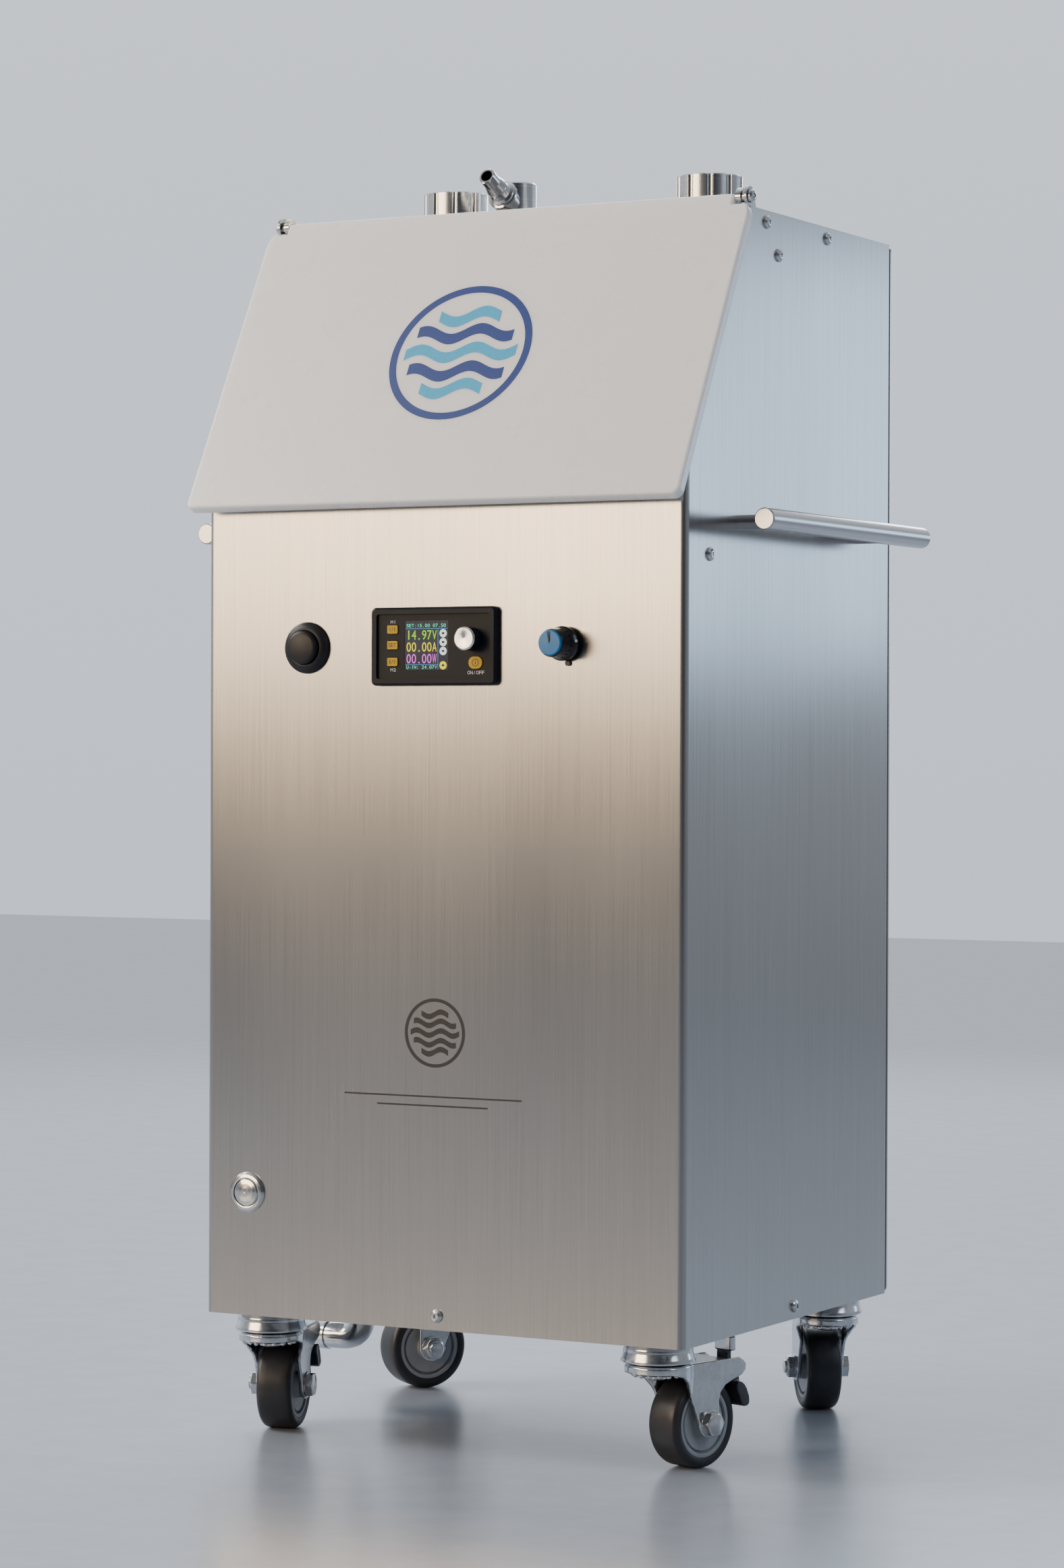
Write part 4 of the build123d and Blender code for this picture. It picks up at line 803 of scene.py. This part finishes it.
def round_button():
    """The rubber button at the upper left: a rounded flange and a stepped cap with a soft dome."""
    place = facing_node("dome_button", -DOME_OUT)
    dome = [(8.3 * k / 8, DOME_OUT - 0.85 * (k / 8) ** 2) for k in range(9)]
    cap = Shape(place)
    cap.lathe(dome + [(8.8, 7.35), (9.1, 6.85), (9.26, 6.2), (9.3, 5.5), (9.3, 2.9), (5.3, 2.9), (5.3, -11.9),
                      (0, -11.9)], segments=96)
    cap.make("dome_button_cap", "dome_button", PLAIN["rubber"], "black_rubber", sharp=50,
             stands_for=["dome_button"])
    flange = Shape(place)
    flange.lathe([(0, -20), (5.6, -20), (5.6, 0.4), (9.6, 0.4), (9.6, 4.3), (9.8, 4.4), (10.4, 4.36),
                  (11.2, 4.15), (12.0, 3.78), (12.8, 3.22), (13.5, 2.55), (14.05, 1.85), (14.35, 1.1),
                  (14.4, 0.5), (14.4, 0), (8, 0), (8, -32), (0, -32)], segments=96)
    flange.lathe([(8, -4.5), (12.7, -4.5), (12.7, -1.5), (8, -1.5)], segments=6)   # the locknut
    flange.make("dome_button_flange", "cabinet", PLAIN["rubber"], "black_rubber", sharp=50,
                stands_for=["dome_button_body"])


def encoder_face():
    """Diamond-turned face of the display's knob, with a bright edge."""
    low, high = box_mm("encoder_knob")
    radius = (high.x - low.x) / 2
    face = Shape(facing_node("encoder_knob"))
    face.lathe([(0, 0.08), (0.25, 0.02), (0.5, 0.08), (radius - 0.8, 0.1), (radius + 0.02, -0.72),
                (radius + 0.02, -1.1), (radius - 0.5, -1.3), (0, -1.3)], segments=96)
    face.make("encoder_face", "encoder_knob", PLAIN["diamond_turned"], "turned_aluminium", bevel=0.06)


def pointer():
    """Dark line in the blue cap and a pale dot on the skirt of the control knob."""
    lean = Matrix.Rotation(radians(8), 4, "Z")
    line = Shape(facing_node("control_knob_cap") @ lean)
    line.prism(rounded_rectangle(1.0, 5.6, 0.4, (0, 3.4)), -0.42, 0.04)
    line.make("control_pointer", "control_knob", PLAIN["ink"], "black_plastic", bevel=0.05)
    middle, skirt = middle_of("control_knob_cap"), box_mm("control_knob")[1].y
    dot = Shape(facing_front(middle.x, middle.z, skirt) @ lean)
    turned_in = Matrix.Translation((9.0, 0, 2.0)) @ Matrix.Rotation(radians(62), 4, "Y")
    dot.lathe([(0, 0.32), (0.7, 0.28), (0.9, 0.12), (0.9, -0.4), (0, -0.4)], turned_in, 28)
    dot.make("control_knob_dot", "control_knob", PLAIN["polymer"], "black_plastic")


def wave_band(radius, up):
    """A wavy stripe that ends inside a ring; up is its height, in shares of the ring's radius."""
    inside, middle, thick, swell, length = [radius * share for share in (0.82, up, 0.16, 0.07, 0.8)]
    reach = sqrt(inside ** 2 - (abs(middle) + thick / 2 + swell) ** 2)
    steps = 48
    across = [-reach + 2 * reach * k / steps for k in range(steps + 1)]
    crest = [(x, middle + swell * sin(2 * pi * x / length) + thick / 2) for x in across]
    return crest + [(x, y - thick) for x, y in reversed(crest)]


def roundel(name, body, place, radius, ring, stripe, slot, proud):
    """A plain ring with wave stripes across it."""
    edge = Shape(place)
    edge.lathe([(radius * 0.90, 0), (radius, 0), (radius, proud), (radius * 0.90, proud)], segments=128)
    for up in (-0.28, 0.28):
        edge.prism(wave_band(radius, up), 0, proud)
    edge.make(name + "_ring", body, ring, slot)
    waves = Shape(place)
    for up in (-0.54, 0, 0.54):
        waves.prism(wave_band(radius, up), 0, proud)
    waves.make(name + "_waves", body, stripe, slot)


def marks():
    """Plain wave marks on the lid and on the front, and a double rule."""
    out = Vector((0, -cos(radians(LID_ANGLE)), sin(radians(LID_ANGLE))))
    outer_face = max(vertex.co.dot(out) for vertex in NODES["lid_panel"].data.vertices) / MM
    middle = middle_of("lid_panel")
    on_lid = middle + out * (outer_face - middle.dot(out)) + Vector((-3, 0, 0))
    tilt = Matrix.Rotation(radians(90 - LID_ANGLE), 4, "X")
    roundel("lid_mark", "lid", Matrix.Translation(on_lid) @ tilt, 44, PLAIN["deep_blue"], PLAIN["pale_blue"],
            "opal_acrylic", 0.12)
    proud = 0.08
    place = facing_front(-2, UNDERSIDE + 163)
    roundel("front_mark", "cabinet", place, 19, PLAIN["ink"], PLAIN["ink"], "brushed_steel", proud)
    rules = Shape(facing_front(-3.6, UNDERSIDE + 128))
    for width, up in ((112, 0), (70, -5)):
        rules.prism(rounded_rectangle(width, 0.9, 0.4, (0, up)), 0, proud)
    rules.make("front_rules", "cabinet", PLAIN["ink"], "brushed_steel")


# ---------------------------------------------------------------- stage, light and camera
# Place, aim, width and height in metres, power in watts, and colour of each lamp.
LAMPS = {
    "key": ((-2.3, -1.2, 2.1), (0, 0, 0.5), 1.3, 1.3, 66, (1.0, 0.95, 0.90)),
    "front_band": ((-1.15, -2.1, 0.87), (0, -0.1, 0.5), 1.5, 0.75, 30, (1.0, 0.75, 0.48)),
    "side_fill": ((1.35, 2.3, 0.75), (0.15, 0, 0.4), 1.2, 0.5, 5, (0.55, 0.76, 1.0)),
    "right": ((2.6, -0.4, 1.9), (0, 0, 0.4), 1.0, 1.4, 12, (0.78, 0.89, 1.0)),
    "rim": ((-0.9, 2.3, 1.6), (0, 0, 0.5), 1.5, 1.2, 38, (0.86, 0.93, 1.0)),
}


def area_light(name, place, aim, width, height, power, colour):
    """A lamp that shows in reflections and is not seen by the camera itself."""
    data = bpy.data.lights.new(name, "AREA")
    data.shape, data.size, data.size_y = "RECTANGLE", width, height
    data.energy, data.color = power, colour
    lamp = bpy.data.objects.new(name, data)
    lamp.location = place
    lamp.rotation_euler = (Vector(aim) - Vector(place)).to_track_quat("-Z", "Y").to_euler()
    lamp.visible_camera = False
    bpy.context.scene.collection.objects.link(lamp)


def stage():
    """The floor, the room and the lamps."""
    reach = 6.0
    corners = [(x * reach, y * reach, 0) for x, y in ((-1, -1), (1, -1), (1, 1), (-1, 1))]
    mesh = bpy.data.meshes.new("floor")
    mesh.from_pydata(corners, [], [(0, 1, 2, 3)])
    floor = bpy.data.objects.new("floor", mesh)
    bpy.context.scene.collection.objects.link(floor)
    m = Nodes("pale_floor")
    grain = m.noise((30, 30, 30), detail=4.0)
    m.link(m.colours(grain, [(0.3, (0.33, 0.37, 0.44)), (0.7, (0.37, 0.41, 0.48))]),
           m.shader.inputs["Base Color"])
    m.set(Roughness=0.24)
    mesh.materials.append(m.material)
    studio()
    for name, lamp in LAMPS.items():
        area_light(name, *lamp)


def studio():
    """A pale room: lighter behind the object and overhead, dimmer in front of it and to its right."""
    world = bpy.data.worlds.new("studio")
    bpy.context.scene.world = world
    world.use_nodes = True
    nodes, links = world.node_tree.nodes, world.node_tree.links
    place = nodes.new("ShaderNodeTexCoord")
    direction = nodes.new("ShaderNodeSeparateXYZ")
    links.new(place.outputs["Generated"], direction.inputs["Vector"])

    def ranged(axis, *values):
        node = nodes.new("ShaderNodeMapRange")
        for socket, value in zip(("From Min", "From Max", "To Min", "To Max"), values):
            node.inputs[socket].default_value = value
        links.new(direction.outputs[axis], node.inputs["Value"])
        return node.outputs["Result"]

    def joined(operation, first, second):
        node = nodes.new("ShaderNodeMath")
        node.operation = operation
        links.new(first, node.inputs[0])
        links.new(second, node.inputs[1])
        return node.outputs[0]

    ramp = nodes.new("ShaderNodeValToRGB")
    links.new(ranged("Z", -0.1, 0.6, 0.0, 1.0), ramp.inputs["Fac"])
    ramp.color_ramp.elements[0].color = (0.62, 0.68, 0.78, 1)
    ramp.color_ramp.elements[1].color = (0.90, 0.93, 0.98, 1)
    links.new(ramp.outputs["Color"], nodes["Background"].inputs["Color"])
    room = joined("MULTIPLY", ranged("X", -0.1, 0.5, 1.0, 0.34), ranged("Y", -0.7, 0.3, 0.20, 1.25))
    past_the_floor = ranged("Z", -0.07, -0.04, 0.8, 0.0)
    links.new(joined("MAXIMUM", room, past_the_floor), nodes["Background"].inputs["Strength"])


CAMERA = Vector((1.10436, -2.06081, 0.38467))   # place, in metres
YAW, PITCH, ROLL = 28.529, -0.361, 0.221        # degrees
LENS, SENSOR = 93.02, 36.0                      # millimetres


def camera():
    data = bpy.data.cameras.new("camera")
    data.lens, data.sensor_width = LENS, SENSOR
    data.clip_start, data.clip_end = 0.05, 50.0
    eye = bpy.data.objects.new("camera", data)
    turn = Matrix.Rotation(radians(YAW), 4, "Z") @ Matrix.Rotation(radians(90 + PITCH), 4, "X")
    eye.matrix_world = Matrix.Translation(CAMERA) @ turn @ Matrix.Rotation(radians(ROLL), 4, "Z")
    bpy.context.scene.collection.objects.link(eye)
    bpy.context.scene.camera = eye


camera()
stage()
dress_all()
swivel_cups()
for caster in CASTERS:
    fork(caster)
    wheel(caster)
for caster in BRAKED:
    brake(caster)
screen()
labels()
round_button()
encoder_face()
pointer()
marks()
